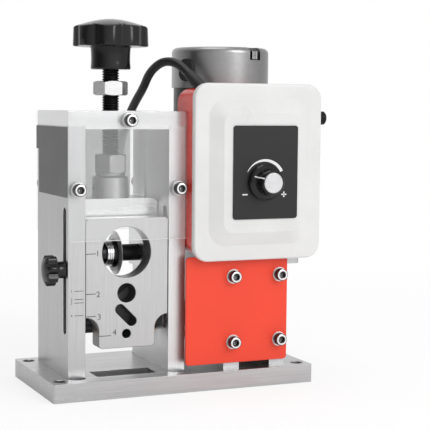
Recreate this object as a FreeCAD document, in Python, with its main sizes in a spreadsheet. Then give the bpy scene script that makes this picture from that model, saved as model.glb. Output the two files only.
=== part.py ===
import FreeCAD, Part
import math
import os
import Sketcher

# A bench machine that strips cable: a star knob and screw press a round blade down on a fluted feed roller,
# and a geared motor turns the roller. Millimetres, +Z up, origin at the centre of the base plate's underside.

doc = FreeCAD.newDocument("wire_stripping_machine")
sheet = doc.addObject("Spreadsheet::Sheet", "sizes")

DIMENSIONS = {
    # base plate
    "base_length": 190, "base_width": 95, "base_thickness": 12.5, "base_corner": 1.5,
    "mount_spacing_x": 175, "mount_spacing_y": 75, "mount_hole": 8.4,
    "seat_depth": 2, "seat_play": 0.05,
    "window_left": 21.3, "window_right": 21.3, "window_front": 35.5, "window_rear": 17, "window_corner": 2.5,
    # frame of two uprights and a top bar
    "frame_x": -39, "frame_y": 2, "upright_gap": 59.4, "upright_thickness": 12, "upright_depth": 70,
    "upright_length": 169.7, "bar_thickness": 12.1, "bar_rebate": 2,
    "track_y": 10.2, "track_width": 7, "track_depth": 1.5, "track_bottom": 70,
    "slot_y": -25.7, "slot_width": 6.7, "slot_bottom": 41.4, "slot_top": 126.2,
    # clear guards and their screws
    "guard_thickness": 3, "guard_height": 86.3, "guard_corner": 2.5, "guard_screw_z": 138.5,
    "panel_screw": 5, "panel_head": 8.5, "panel_head_height": 5, "panel_shank": 15,
    "washer_size": 10, "washer_thickness": 1, "screw_play": 0.1, "clearance_play": 0.5,
    "frame_screw": 6, "frame_head": 10, "frame_shank": 20, "frame_screw_pitch": 40, "flat_shank": 24.5,
    # adjusting screw with its knob, nut and collar
    "screw_size": 12, "screw_top": 232, "journal_size": 10, "journal_groove": 8, "retainer_size": 4,
    "running_play": 0.1,
    "knob_size": 52, "knob_bottom": 218.5, "knob_hub": 27.7, "knob_hub_height": 16.4,
    "knob_height": 14.8, "knob_dome": 3.3, "knob_lobes": 8,
    "nut_flats": 21, "nut_bottom": 200.8, "nut_height": 9.8,
    "collar_bottom": 145.3, "collar_height": 15, "collar_face": 2.2,
    # slide block with its arms and the blade
    "block_play": 0.5, "block_front": 15.1, "block_rear": 14.9, "block_bottom": 111, "block_height": 19.6,
    "block_corner": 5, "arm_thickness": 10, "arm_bottom": 82, "key_play": 0.2,
    "boss_top_size": 24.7, "boss_base_size": 26, "boss_gap": 0.05,
    "blade_z": 92, "blade_size": 30.4, "blade_thickness": 3, "blade_right": -35.5, "blade_bore": 10,
    "blade_bevel": 2.6, "blade_side_play": 0.2,
    "axle_size": 8, "hub_size": 11.6, "blade_collar_size": 20.5, "blade_collar_width": 3.5,
    "blade_washer_size": 19, "blade_washer_width": 1.2, "blade_nut_flats": 14, "blade_nut_width": 4,
    # guide plate with its holes and clamp
    "guide_thickness": 14, "guide_gap": 0.3, "guide_play": 0.4, "guide_top": 118.8, "guide_corner": 2.5,
    "guide_shoulder": 53, "guide_notch": 9.4, "guide_bottom": 31, "guide_hole_x": -39.4,
    "guide_hole_one": 34.8, "guide_hole_one_z": 95.8, "guide_hole_two": 13, "guide_hole_two_z": 68.2,
    "guide_slot_width": 7, "guide_slot_reach": 4.1, "guide_slot_z": 53.1,
    "guide_hole_four": 6.2, "guide_hole_four_z": 40.5,
    "stud_size": 6, "stud_z": 84.9, "clamp_size": 21, "clamp_hub": 12, "clamp_hub_height": 3.4,
    "clamp_height": 9.4, "clamp_dome": 2.4, "clamp_lobes": 6,
    # feed roller and its drive
    "shaft_z": 43, "shaft_y": -2, "shaft_size": 12, "roller_size": 26, "roller_width": 24, "roller_x": -37,
    "flute_count": 36, "flute_depth": 1.2, "bush_size": 18, "blind_bush_length": 9,
    "coupling_size": 28, "coupling_gap": 2.5, "coupling_hub": 8.5, "jaw_length": 6, "jaw_play": 0.3,
    "worm_module": 1.5, "wheel_teeth": 26, "wheel_width": 12, "wheel_hub": 22, "worm_pitch_size": 13,
    "worm_half_length": 17, "gear_x": 53.3, "flank_play": 0.12,
    # gearbox plates
    "gear_plate_thickness": 12, "gear_plate_gap": 23.4, "gear_plate_front": 37, "gear_plate_rear": 45,
    "gear_plate_top": 84, "motor_plate_thickness": 8, "motor_plate_left": 35, "motor_plate_right": 35,
    "footstep_height": 10,
    "cover_left": 52.7, "cover_right": 24.1, "cover_bottom": 16.8, "cover_top": 91.3, "cover_thickness": 2,
    "cover_corner": 2.5, "cover_screw_low": 31.4, "cover_screw_high": 77.2,
    # control box
    "box_left": 3.4, "box_right": 97, "box_front": -45, "box_depth": 30, "box_height": 114.5,
    "box_corner": 10.4, "box_wall": 2, "box_boss": 8, "box_boss_side": 7, "box_boss_end": 10,
    "box_screw": 4,
    "lid_rim": 1.4, "lid_rim_left": 0.8, "lid_thickness": 4.4,
    "lid_below": 3.1, "lid_above": 3.2, "lid_rise": 5,
    "lid_slope": 9, "lid_side": 10.5, "lid_wall": 2, "lid_field_corner": 12,
    "panel_left": 28.6, "panel_right": 77.1, "panel_bottom": 117.6, "panel_top": 181.2,
    "panel_thickness": 0.8, "panel_corner": 2,
    "dial_x": 52, "dial_z": 143, "dial_skirt": 24.6, "dial_grip": 17.5, "dial_insert": 14,
    "dial_length": 13.6, "dial_gap": 0.4,
    "pot_size": 17, "pot_depth": 9, "pot_shaft": 6, "pot_bush": 7, "pot_nut_flats": 10,
    "board_width": 52, "board_height": 66, "board_thickness": 1.6, "board_parts": 7,
    "fuse_y": -37, "fuse_z": 186.3, "fuse_size": 12, "fuse_cap": 9.4, "fuse_reach": 10, "fuse_depth": 26,
    # motor
    "motor_size": 70.6, "motor_step": 1.5, "motor_body_height": 115, "motor_cap_height": 29,
    "motor_cap_edge": 4, "motor_wall": 2.5, "motor_shaft": 8, "motor_screw_inset": 11.3,
    "magnet_thickness": 5.45, "air_gap": 0.8,
    "armature_slots": 12, "armature_below": 26, "armature_above": 19,
    "commutator_size": 24, "commutator_length": 15, "bearing_size": 22, "bearing_width": 7,
    "brush_plate": 2.5, "brush_height": 8, "brush_width": 5, "brush_length": 11.9,
    # mains lead
    "lead_size": 6.2, "boot_length": 16, "boot_x": 16, "boot_y": -29,
    "lead_floor_y": 53, "coil_x": 81, "coil_radius": 45.4, "coil_pitch": 6.8, "coil_rise": 6.8,
    "plug_width": 26, "plug_length": 34,
}


class Size:
    """A length together with the spreadsheet expression that gives it."""

    def __init__(self, value, text):
        self.value = value
        self.text = text

    def __add__(self, other):
        return Size(self.value + value_of(other), f"({self.text} + {text_of(other)})")

    def __radd__(self, other):
        return Size(value_of(other) + self.value, f"({text_of(other)} + {self.text})")

    def __sub__(self, other):
        return Size(self.value - value_of(other), f"({self.text} - {text_of(other)})")

    def __rsub__(self, other):
        return Size(value_of(other) - self.value, f"({text_of(other)} - {self.text})")

    def __mul__(self, other):
        return Size(self.value * value_of(other), f"({self.text} * {text_of(other)})")

    __rmul__ = __mul__

    def __truediv__(self, other):
        return Size(self.value / value_of(other), f"({self.text} / {text_of(other)})")

    def __neg__(self):
        return Size(-self.value, f"(0 - {self.text})")

    def __float__(self):
        return float(self.value)


def value_of(size):
    return size.value if isinstance(size, Size) else size


def text_of(size):
    return size.text if isinstance(size, Size) else repr(size)


class Sheet:
    """The spreadsheet's cells by their aliases."""


for line, (alias, number) in enumerate(DIMENSIONS.items(), start=1):
    sheet.set(f"A{line}", alias)
    sheet.set(f"B{line}", str(number))
    sheet.setAlias(f"B{line}", alias)
doc.recompute()
dim = Sheet()
for alias in DIMENSIONS:
    setattr(dim, alias, Size(sheet.get(alias), f"sizes.{alias}"))

subparts = []
UP = FreeCAD.Vector(0, 0, 1)
AXES = {"X": FreeCAD.Vector(1, 0, 0), "Y": FreeCAD.Vector(0, 1, 0), "Z": UP,
        "-X": FreeCAD.Vector(-1, 0, 0), "-Y": FreeCAD.Vector(0, -1, 0), "-Z": FreeCAD.Vector(0, 0, -1)}


# Helpers that build bodies, sketches and features.

def new_body(name, kept=True):
    body = doc.addObject("PartDesign::Body", name)
    body.Label = name
    if kept:
        subparts.append(body)
    return body


def place(piece, x=0, y=0, z=0, axis="Z", turn=0):
    """Turn the piece about its own Z, lay that Z along an axis and bind its place to the sheet."""
    rotation = FreeCAD.Rotation(UP, AXES[axis]).multiply(FreeCAD.Rotation(UP, turn))
    piece.Placement = FreeCAD.Placement(FreeCAD.Vector(0, 0, 0), rotation)
    for key, size in (("x", x), ("y", y), ("z", z)):
        piece.setExpression(f"Placement.Base.{key}", text_of(size))


def new_sketch(body, plane="XY", at=0):
    """A sketch on an origin plane, moved along that plane's axis to a coordinate."""
    sketch = body.newObject("Sketcher::SketchObject", f"{body.Name}_sketch")
    base = next(face for face in body.Origin.OriginFeatures if face.Role == f"{plane}_Plane")
    sketch.AttachmentSupport = [(base, "")]
    sketch.MapMode = "FlatFace"
    offset = -at if plane == "XZ" else at
    sketch.setExpression("AttachmentOffset.Base.z", text_of(offset))
    return sketch


def bind(sketch, index, size):
    if isinstance(size, Size):
        sketch.setExpression(f"Constraints[{index}]", size.text)


def pin(sketch, geometry, position, x, y):
    """Hold a sketch point at given coordinates."""
    for kind, axis, size in (("DistanceX", -2, x), ("DistanceY", -1, y)):
        if not isinstance(size, Size) and size == 0:
            sketch.addConstraint(Sketcher.Constraint("PointOnObject", geometry, position, axis))
        else:
            index = sketch.addConstraint(
                Sketcher.Constraint(kind, -1, 1, geometry, position, value_of(size)))
            bind(sketch, index, size)


def outline(sketch, corners):
    """A closed outline of straight sides; a corner is (x, y) or (x, y, radius)."""
    count = len(corners)
    spots = [FreeCAD.Vector(value_of(c[0]), value_of(c[1]), 0) for c in corners]
    radii = [value_of(c[2]) if len(c) > 2 else 0 for c in corners]
    entry = []
    leave = []
    for i, spot in enumerate(spots):
        before = (spots[i - 1] - spot).normalize()
        after = (spots[(i + 1) % count] - spot).normalize()
        reach = radii[i] / math.tan(before.getAngle(after) / 2) if radii[i] else 0
        entry.append(spot + before * reach)
        leave.append(spot + after * reach)
    sides = [sketch.addGeometry(Part.LineSegment(leave[i], entry[(i + 1) % count])) for i in range(count)]
    for i, corner in enumerate(corners):
        last = sides[i - 1]
        following = sides[i]
        if not radii[i]:
            sketch.addConstraint(Sketcher.Constraint("Coincident", last, 2, following, 1))
            pin(sketch, following, 1, corner[0], corner[1])
            continue
        before = (entry[i] - spots[i]).normalize()
        after = (leave[i] - spots[i]).normalize()
        middle = (before + after).normalize()
        centre = spots[i] + middle * (radii[i] / math.sin(before.getAngle(after) / 2))
        left_turn = before.cross(after).z < 0
        first, final = (entry[i], leave[i]) if left_turn else (leave[i], entry[i])
        start = math.atan2(first.y - centre.y, first.x - centre.x)
        end = math.atan2(final.y - centre.y, final.x - centre.x)
        if end < start:
            end += 2 * math.pi
        arc = sketch.addGeometry(Part.ArcOfCircle(Part.Circle(centre, UP, radii[i]), start, end))
        spot = sketch.addGeometry(Part.Point(spots[i]), True)
        sketch.addConstraint(Sketcher.Constraint("Tangent", last, 2, arc, 1 if left_turn else 2))
        sketch.addConstraint(Sketcher.Constraint("Tangent", following, 1, arc, 2 if left_turn else 1))
        sketch.addConstraint(Sketcher.Constraint("PointOnObject", spot, 1, last))
        sketch.addConstraint(Sketcher.Constraint("PointOnObject", spot, 1, following))
        pin(sketch, spot, 1, corner[0], corner[1])
        bind(sketch, sketch.addConstraint(Sketcher.Constraint("Radius", arc, radii[i])), corner[2])


def rectangle(sketch, left, bottom, right, top, radius=0):
    corners = [(left, bottom), (right, bottom), (right, top), (left, top)]
    if value_of(radius):
        corners = [corner + (radius,) for corner in corners]
    outline(sketch, corners)


def circle(sketch, x, y, diameter):
    spot = FreeCAD.Vector(value_of(x), value_of(y), 0)
    ring = sketch.addGeometry(Part.Circle(spot, UP, value_of(diameter) / 2))
    pin(sketch, ring, 3, x, y)
    index = sketch.addConstraint(Sketcher.Constraint("Diameter", ring, value_of(diameter)))
    bind(sketch, index, diameter)


def slot(sketch, ax, ay, bx, by, width):
    """A round-ended slot between two centres."""
    a = FreeCAD.Vector(value_of(ax), value_of(ay), 0)
    b = FreeCAD.Vector(value_of(bx), value_of(by), 0)
    along = (b - a).normalize()
    side = UP.cross(along) * (value_of(width) / 2)
    turn = math.atan2(along.y, along.x)
    far = sketch.addGeometry(
        Part.ArcOfCircle(Part.Circle(b, UP, value_of(width) / 2), turn - math.pi / 2, turn + math.pi / 2))
    near = sketch.addGeometry(
        Part.ArcOfCircle(Part.Circle(a, UP, value_of(width) / 2), turn + math.pi / 2, turn + 1.5 * math.pi))
    left = sketch.addGeometry(Part.LineSegment(b + side, a + side))
    right = sketch.addGeometry(Part.LineSegment(a - side, b - side))
    for one, one_end, two, two_end in ((far, 2, left, 1), (left, 2, near, 1),
                                       (near, 2, right, 1), (right, 2, far, 1)):
        sketch.addConstraint(Sketcher.Constraint("Tangent", one, one_end, two, two_end))
    pin(sketch, near, 3, ax, ay)
    pin(sketch, far, 3, bx, by)
    index = sketch.addConstraint(Sketcher.Constraint("Diameter", near, value_of(width)))
    bind(sketch, index, width)


def volume(body):
    return 0 if body.Shape.isNull() else body.Shape.Volume


def finish(body, feature, before, grows):
    """Recompute and stop if the feature did nothing."""
    doc.recompute()
    change = volume(body) - before
    if "Invalid" in feature.State or (change <= 0) == grows:
        raise RuntimeError(f"{body.Label}: {feature.Name} failed, change {change:.3f}, {feature.State}")
    return feature


def pad(body, sketch, length):
    """Add material from the sketch along its axis's positive direction."""
    before = volume(body)
    feature = body.newObject("PartDesign::Pad", f"{body.Name}_pad")
    feature.Profile = sketch
    feature.Reversed = sketch.AttachmentSupport[0][0].Role == "XZ_Plane"
    feature.setExpression("Length", text_of(length))
    sketch.Visibility = False
    return finish(body, feature, before, True)


def cut(body, sketch, length=None):
    """Cut from the sketch along its axis's positive direction, or through everything both ways."""
    before = volume(body)
    feature = body.newObject("PartDesign::Pocket", f"{body.Name}_pocket")
    feature.Profile = sketch
    feature.Reversed = sketch.AttachmentSupport[0][0].Role != "XZ_Plane"
    if length is None:
        feature.Type = "ThroughAll"
        feature.Midplane = True
    else:
        feature.setExpression("Length", text_of(length))
    return finish(body, feature, before, False)


def drill(body, plane, at, spots, diameter, length=None):
    """Round holes of one size, from a plane along its axis."""
    sketch = new_sketch(body, plane, at)
    for x, y in spots:
        circle(sketch, x, y, diameter)
    return cut(body, sketch, length)


def turned(body, corners, cutting=False):
    """Revolve an outline of (radius, height) corners round the body's own Z."""
    before = volume(body)
    sketch = new_sketch(body, "XZ")
    outline(sketch, corners)
    kind = "Groove" if cutting else "Revolution"
    feature = body.newObject(f"PartDesign::{kind}", f"{body.Name}_{kind.lower()}")
    feature.Profile = sketch
    feature.ReferenceAxis = (sketch, ["V_Axis"])
    feature.Angle = 360
    return finish(body, feature, before, not cutting)


def ring(body, bore, outer, bottom, top):
    return turned(body, [(bore / 2, bottom), (outer / 2, bottom), (outer / 2, top), (bore / 2, top)])


def around(body, feature, count):
    """Repeat a feature evenly round the body's own Z."""
    before = volume(body)
    pattern = body.newObject("PartDesign::PolarPattern", f"{body.Name}_pattern")
    pattern.Originals = [feature]
    pattern.Axis = (next(a for a in body.Origin.OriginFeatures if a.Role == "Z_Axis"), [""])
    pattern.Angle = 360
    pattern.setExpression("Occurrences", text_of(count))
    body.Tip = pattern
    doc.recompute()
    if "Invalid" in pattern.State or abs(volume(body) - before) < 1e-6:
        raise RuntimeError(f"{body.Label}: pattern changed nothing")
    return pattern


def edges_at(body, test):
    """Names of the edges whose middle point and shape pass a test."""
    found = []
    for number, edge in enumerate(body.Shape.Edges, start=1):
        middle = edge.valueAt((edge.FirstParameter + edge.LastParameter) / 2)
        if test(edge, middle):
            found.append(f"Edge{number}")
    return found


def is_circle(edge, radius):
    return isinstance(edge.Curve, Part.Circle) and abs(edge.Curve.Radius - value_of(radius)) < 1e-3


def soften(body, kind, size, test):
    """Fillet or chamfer the edges that pass a test, in the body's own coordinates."""
    inverse = body.Placement.inverse()
    names = edges_at(body, lambda edge, middle: test(edge, inverse.multVec(middle)))
    if not names:
        raise RuntimeError(f"{body.Label}: no edge to {kind.lower()}")
    tip = body.Tip
    feature = body.newObject(f"PartDesign::{kind}", f"{body.Name}_{kind.lower()}")
    feature.Base = (tip, names)
    feature.setExpression("Radius" if kind == "Fillet" else "Size", text_of(size))
    doc.recompute()
    if "Invalid" in feature.State or body.Shape.isNull() or not body.Shape.isValid():
        raise RuntimeError(f"{body.Label}: {kind.lower()} failed on {len(names)} edges")
    return feature


def hexagon(sketch, flats, turn=0):
    """A hexagon round the sketch's origin, with a corner at the turn angle in degrees."""
    reach = flats / math.sqrt(3)
    outline(sketch, [(reach * round(math.cos(math.radians(turn + 60 * k)), 9),
                      reach * round(math.sin(math.radians(turn + 60 * k)), 9)) for k in range(6)])


def feature_from(name, shape):
    """A sub-part whose shape is made by Part functions."""
    piece = doc.addObject("Part::Feature", name)
    piece.Label = name
    piece.Shape = shape
    piece.Placement = FreeCAD.Placement()
    subparts.append(piece)
    return piece


def copies(master, places):
    """Linked copies of a body, each at (x, y, z, axis) with an optional turn about its own Z."""
    made = []
    for spot in places:
        copy = doc.addObject("App::Link", f"{master.Name}_copy")
        copy.LinkedObject = master
        copy.LinkTransform = False
        place(copy, *spot)
        made.append(copy)
    return made


def gather(name, pieces):
    """Keep several separate solids as one sub-part."""
    whole = doc.addObject("Part::Compound", name)
    whole.Label = name
    whole.Links = pieces
    subparts.append(whole)


def point(x, y, z):
    return FreeCAD.Vector(value_of(x), value_of(y), value_of(z))


# Places that several pieces share.

left_inner = dim.frame_x - dim.upright_gap / 2
left_outer = left_inner - dim.upright_thickness
right_inner = dim.frame_x + dim.upright_gap / 2
right_outer = right_inner + dim.upright_thickness
left_middle = left_inner - dim.upright_thickness / 2
right_middle = right_inner + dim.upright_thickness / 2
frame_front = dim.frame_y - dim.upright_depth / 2
frame_rear = dim.frame_y + dim.upright_depth / 2
seat_top = dim.base_thickness - dim.seat_depth
upright_top = seat_top + dim.upright_length
bar_bottom = upright_top - dim.bar_rebate
bar_top = bar_bottom + dim.bar_thickness
guard_bottom = bar_top - dim.guard_height
guard_bar_screw_z = bar_bottom + dim.bar_thickness / 2
frame_screw_front = dim.frame_y - dim.frame_screw_pitch / 2
frame_screw_rear = dim.frame_y + dim.frame_screw_pitch / 2
thread_hole = dim.frame_screw + dim.screw_play
shaft_bore = dim.shaft_size + dim.running_play
screw_bore = dim.screw_size + dim.running_play

gear_plate_a = dim.gear_x - dim.gear_plate_gap / 2 - dim.gear_plate_thickness
gear_plate_b = dim.gear_x + dim.gear_plate_gap / 2
gear_plate_a_middle = gear_plate_a + dim.gear_plate_thickness / 2
gear_plate_b_middle = gear_plate_b + dim.gear_plate_thickness / 2
gear_plate_b_right = gear_plate_b + dim.gear_plate_thickness
gear_front = dim.shaft_y - dim.gear_plate_front
gear_rear = dim.frame_y + dim.gear_plate_rear
centre_distance = (dim.worm_pitch_size + dim.worm_module * dim.wheel_teeth) / 2
motor_y = dim.shaft_y + centre_distance
motor_bottom = dim.gear_plate_top + dim.motor_plate_thickness
motor_top = motor_bottom + dim.motor_body_height + dim.motor_cap_height
box_rear = dim.box_front + dim.box_depth
box_top = motor_bottom + dim.box_height

block_top = dim.block_bottom + dim.block_height
block_left = left_inner + dim.block_play
block_right = right_inner - dim.block_play
block_front_y = dim.frame_y - dim.block_front
block_rear_y = dim.frame_y + dim.block_rear
boss_top = dim.collar_bottom - dim.boss_gap
guide_front = frame_front + dim.guide_gap
guide_left = left_inner + dim.guide_play
guide_right = right_inner - dim.guide_play


def base_plate():
    body = new_body("base_plate")
    sketch = new_sketch(body)
    half_length = dim.base_length / 2
    half_width = dim.base_width / 2
    rectangle(sketch, -half_length, -half_width, half_length, half_width, dim.base_corner)
    pad(body, sketch, dim.base_thickness)
    seats = new_sketch(body, "XY", seat_top)
    seat_width = dim.upright_thickness + 2 * dim.seat_play
    for middle in (left_middle, right_middle):
        slot(seats, middle, frame_front, middle, frame_rear, seat_width)
    cut(body, seats, dim.seat_depth + 1)
    gear_seats = new_sketch(body, "XY", seat_top)
    for left in (gear_plate_a, gear_plate_b):
        right = left + dim.gear_plate_thickness
        rectangle(gear_seats, left - dim.seat_play, gear_front - dim.seat_play,
                  right + dim.seat_play, gear_rear + dim.seat_play)
    cut(body, gear_seats, dim.seat_depth + 1)
    window = new_sketch(body)
    rectangle(window, dim.frame_x - dim.window_left, dim.frame_y - dim.window_front,
              dim.frame_x + dim.window_right, dim.frame_y - dim.window_rear, dim.window_corner)
    cut(body, window)
    half_x = dim.mount_spacing_x / 2
    half_y = dim.mount_spacing_y / 2
    drill(body, "XY", 0, [(i * half_x, j * half_y) for i in (-1, 1) for j in (-1, 1)], dim.mount_hole)
    drill(body, "XY", 0, base_screw_spots, dim.frame_screw + dim.clearance_play)
    clear_radius = (dim.frame_screw + dim.clearance_play) / 2
    soften(body, "Chamfer", (dim.frame_head - dim.frame_screw) / 2 + 0.2,
           lambda edge, middle: is_circle(edge, clear_radius) and abs(middle.z) < 1e-3)
    soften(body, "Chamfer", 0.5,
           lambda edge, middle: is_circle(edge, dim.mount_hole / 2) and middle.z > 1)


def upright(name, left, middle, inner_face, bush_hole):
    """One side of the frame; inner_face is where its track starts, bush_hole cuts the shaft's bearing."""
    body = new_body(name)
    sketch = new_sketch(body, "YZ", left)
    rectangle(sketch, frame_front, seat_top, frame_rear, upright_top)
    pad(body, sketch, dim.upright_thickness)
    opening = new_sketch(body, "YZ", left)
    slot(opening, dim.slot_y, dim.slot_bottom + dim.slot_width / 2,
         dim.slot_y, dim.slot_top - dim.slot_width / 2, dim.slot_width)
    cut(body, opening)
    track = new_sketch(body, "YZ", inner_face)
    rectangle(track, dim.track_y - dim.track_width / 2, dim.track_bottom,
              dim.track_y + dim.track_width / 2, upright_top + 1)
    cut(body, track, dim.track_depth)
    bush_hole(body)
    for y in (frame_front, frame_rear - dim.panel_shank):
        drill(body, "XZ", y, [(middle, dim.guard_screw_z)], dim.panel_screw + dim.screw_play,
              dim.panel_shank)
    ends = [(middle, frame_screw_front), (middle, frame_screw_rear)]
    drill(body, "XY", seat_top, ends, thread_hole, dim.frame_shank)
    drill(body, "XY", upright_top - dim.frame_shank, ends, thread_hole, dim.frame_shank)
    return body


def blind_bearing(body):
    drill(body, "YZ", left_inner - dim.blind_bush_length, [(dim.shaft_y, dim.shaft_z)], dim.bush_size,
          dim.blind_bush_length)


def open_bearing(body):
    drill(body, "YZ", right_inner, [(dim.shaft_y, dim.shaft_z)], dim.bush_size)


def top_bar():
    body = new_body("top_bar")
    sketch = new_sketch(body, "XZ", frame_front)
    outline(sketch, [(left_outer, upright_top), (left_inner, upright_top), (left_inner, bar_bottom),
                     (right_inner, bar_bottom), (right_inner, upright_top), (right_outer, upright_top),
                     (right_outer, bar_top), (left_outer, bar_top)])
    pad(body, sketch, dim.upright_depth)
    drill(body, "XY", bar_bottom, [(dim.frame_x, dim.frame_y)], screw_bore)
    for y in (frame_front, frame_rear - dim.panel_shank):
        drill(body, "XZ", y, [(dim.frame_x, guard_bar_screw_z)], dim.panel_screw + dim.screw_play,
              dim.panel_shank)
    spots = [(x, y) for x in (left_middle, right_middle) for y in (frame_screw_front, frame_screw_rear)]
    drill(body, "XY", bar_bottom, spots, dim.frame_screw + dim.clearance_play)
    drill(body, "XY", bar_top - dim.frame_screw, spots, dim.frame_head + dim.clearance_play)
    soften(body, "Chamfer", 0.6, lambda edge, middle: is_circle(edge, screw_bore / 2))


def guard(name, near):
    """A clear plate over the blade, its near face at a given depth."""
    body = new_body(name)
    sketch = new_sketch(body, "XZ", near)
    outline(sketch, [(left_outer, guard_bottom), (right_outer, guard_bottom),
                     (right_outer, bar_top, dim.guard_corner), (left_outer, bar_top, dim.guard_corner)])
    pad(body, sketch, dim.guard_thickness)
    drill(body, "XZ", near, guard_screw_spots, dim.panel_screw + dim.clearance_play)


guard_screw_spots = [(dim.frame_x, guard_bar_screw_z), (left_middle, dim.guard_screw_z),
                     (right_middle, dim.guard_screw_z)]
cover_screw_spots = [(x, z) for x in (gear_plate_a_middle, gear_plate_b_middle)
                     for z in (dim.cover_screw_low, dim.cover_screw_high)]
cover_front = gear_front - dim.cover_thickness
flat_head_play = 0.2
gear_screw_depths = (frame_screw_front - 4, frame_screw_rear + 4)
base_screw_spots = [(x, y) for x in (left_middle, right_middle)
                    for y in (frame_screw_front, frame_screw_rear)]
base_screw_spots += [(x, y) for x in (gear_plate_a_middle, gear_plate_b_middle) for y in gear_screw_depths]
motor_plate_screw_depths = (gear_front + 19, gear_rear - 8)
motor_plate_screw_spots = [(x, y) for x in (gear_plate_a_middle, gear_plate_b_middle)
                           for y in motor_plate_screw_depths]
motor_screw_reach = dim.motor_size / 2 - dim.motor_screw_inset
motor_screw_depths = (motor_y - motor_screw_reach, motor_y + motor_screw_reach)


def cap_screw(name, size, head, height, shank):
    """A socket head screw with its head above its own origin and its shank below."""
    body = new_body(name, kept=False)
    turned(body, [(0, -shank), (size / 2 - 0.4, -shank), (size / 2, -shank + 0.4), (size / 2, 0),
                  (head / 2, 0), (head / 2, height - 0.4), (head / 2 - 0.4, height), (0, height)])
    socket = new_sketch(body, "XY", height * 0.45)
    hexagon(socket, size * 0.8)
    cut(body, socket, height)
    return body


def flat_screw(name, size, head, shank):
    """A countersunk screw, its head's top at its own origin."""
    body = new_body(name, kept=False)
    cone = (head - size) / 2
    turned(body, [(0, -shank), (size / 2 - 0.4, -shank), (size / 2, -shank + 0.4), (size / 2, -cone),
                  (head / 2, 0), (0, 0)])
    socket = new_sketch(body, "XY", -size * 0.4)
    hexagon(socket, size * 0.65)
    cut(body, socket, size)
    return body


def fasteners():
    screw = cap_screw("panel_screw", dim.panel_screw, dim.panel_head, dim.panel_head_height, dim.panel_shank)
    disc = new_body("panel_washer", kept=False)
    ring(disc, dim.panel_screw + dim.clearance_play, dim.washer_size, 0, dim.washer_thickness)
    guard_front = frame_front - dim.guard_thickness
    guard_rear = frame_rear + dim.guard_thickness
    faces = [(x, guard_front, z, "-Y") for x, z in guard_screw_spots]
    faces += [(x, cover_front, z, "-Y") for x, z in cover_screw_spots]
    rear_faces = [(x, guard_rear, z, "Y") for x, z in guard_screw_spots]
    gather("panel_washers", copies(disc, faces + rear_faces))
    on_washers = [(x, y - dim.washer_thickness, z, axis) for x, y, z, axis in faces]
    on_washers += [(x, y + dim.washer_thickness, z, axis) for x, y, z, axis in rear_faces]
    under_motor = [(dim.gear_x, y, dim.gear_plate_top, "-Z") for y in motor_screw_depths]
    gather("panel_screws", copies(screw, on_washers + under_motor))
    head_height = dim.frame_screw - 0.3
    top_screw = cap_screw("top_screw", dim.frame_screw, dim.frame_head, head_height, dim.frame_shank)
    gather("top_screws", copies(top_screw, [(x, y, bar_top - dim.frame_screw, "Z")
                                            for x in (left_middle, right_middle)
                                            for y in (frame_screw_front, frame_screw_rear)]))
    flat = flat_screw("flat_screw", dim.frame_screw, dim.frame_head, dim.flat_shank)
    from_below = [(x, y, flat_head_play, "-Z") for x, y in base_screw_spots]
    from_above = [(x, y, motor_bottom - flat_head_play, "Z") for x, y in motor_plate_screw_spots]
    gather("flat_screws", copies(flat, from_below + from_above))


# Adjusting screw, its knob, its nut and what turns with it.

def star_knob(name, size, hub, hub_height, height, dome, lobes, bore, bore_depth):
    """A scalloped hand knob standing on its own origin, hub below and dome on top."""
    body = new_body(name)
    top = hub_height + height
    turned(body, [(bore / 2, 0), (hub / 2 - 0.5, 0), (hub / 2, 0.5), (hub / 2, hub_height),
                  (size / 2 - 1, hub_height), (size / 2, hub_height + 1), (size / 2, top - 1.5),
                  (size / 2 - 1.5, top), (size / 4, top + dome * 0.75), (0, top + dome),
                  (0, bore_depth), (bore / 2, bore_depth)])
    scallop = new_sketch(body, "XY", hub_height - 1)
    circle(scallop, size * 0.535, 0, size * 0.17)
    around(body, cut(body, scallop, height + dome + 2), lobes)
    return body


def trim_corners(body, flats, low, high, ends="both"):
    """Turn the corners off a hexagon's ends."""
    reach = flats / math.sqrt(3) + 1
    drop = (reach - flats / 2) * 0.6
    if ends != "low":
        turned(body, [(flats / 2, high), (reach, high - drop), (reach, high + 1), (flats / 2, high + 1)],
               cutting=True)
    if ends != "high":
        turned(body, [(flats / 2, low), (flats / 2, low - 1), (reach, low - 1), (reach, low + drop)],
               cutting=True)


def hex_nut(name, flats, height, bore, corner_angle, kept=True, ends="both"):
    """A nut standing on its own origin."""
    body = new_body(name, kept)
    sketch = new_sketch(body)
    hexagon(sketch, flats, corner_angle)
    circle(sketch, 0, 0, bore)
    pad(body, sketch, height)
    trim_corners(body, flats, 0, height, ends)
    return body


def adjusting_screw():
    """The screw with its hexagon collar and the journal that turns in the block's boss."""
    body = new_body("adjusting_screw")
    radius = dim.screw_size / 2
    journal = dim.journal_size / 2
    groove = dim.journal_groove / 2
    face = (dim.nut_flats - 1) / 2
    hexagon_bottom = dim.collar_bottom + dim.collar_face
    hexagon_top = dim.collar_bottom + dim.collar_height
    turned(body, [(0, block_top + 1), (journal - 0.5, block_top + 1), (journal, block_top + 1.5),
                  (journal, block_top + 5), (groove, block_top + 5), (groove, block_top + 9),
                  (journal, block_top + 9), (journal, dim.collar_bottom), (face, dim.collar_bottom),
                  (face, hexagon_bottom + 1), (radius, hexagon_bottom + 1),
                  (radius, dim.screw_top - 1), (radius - 1, dim.screw_top), (0, dim.screw_top)])
    sketch = new_sketch(body, "XY", hexagon_bottom)
    hexagon(sketch, dim.nut_flats, 10.6)
    pad(body, sketch, dim.collar_height - dim.collar_face)
    trim_corners(body, dim.nut_flats, hexagon_bottom, hexagon_top)
    place(body, dim.frame_x, dim.frame_y)


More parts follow.
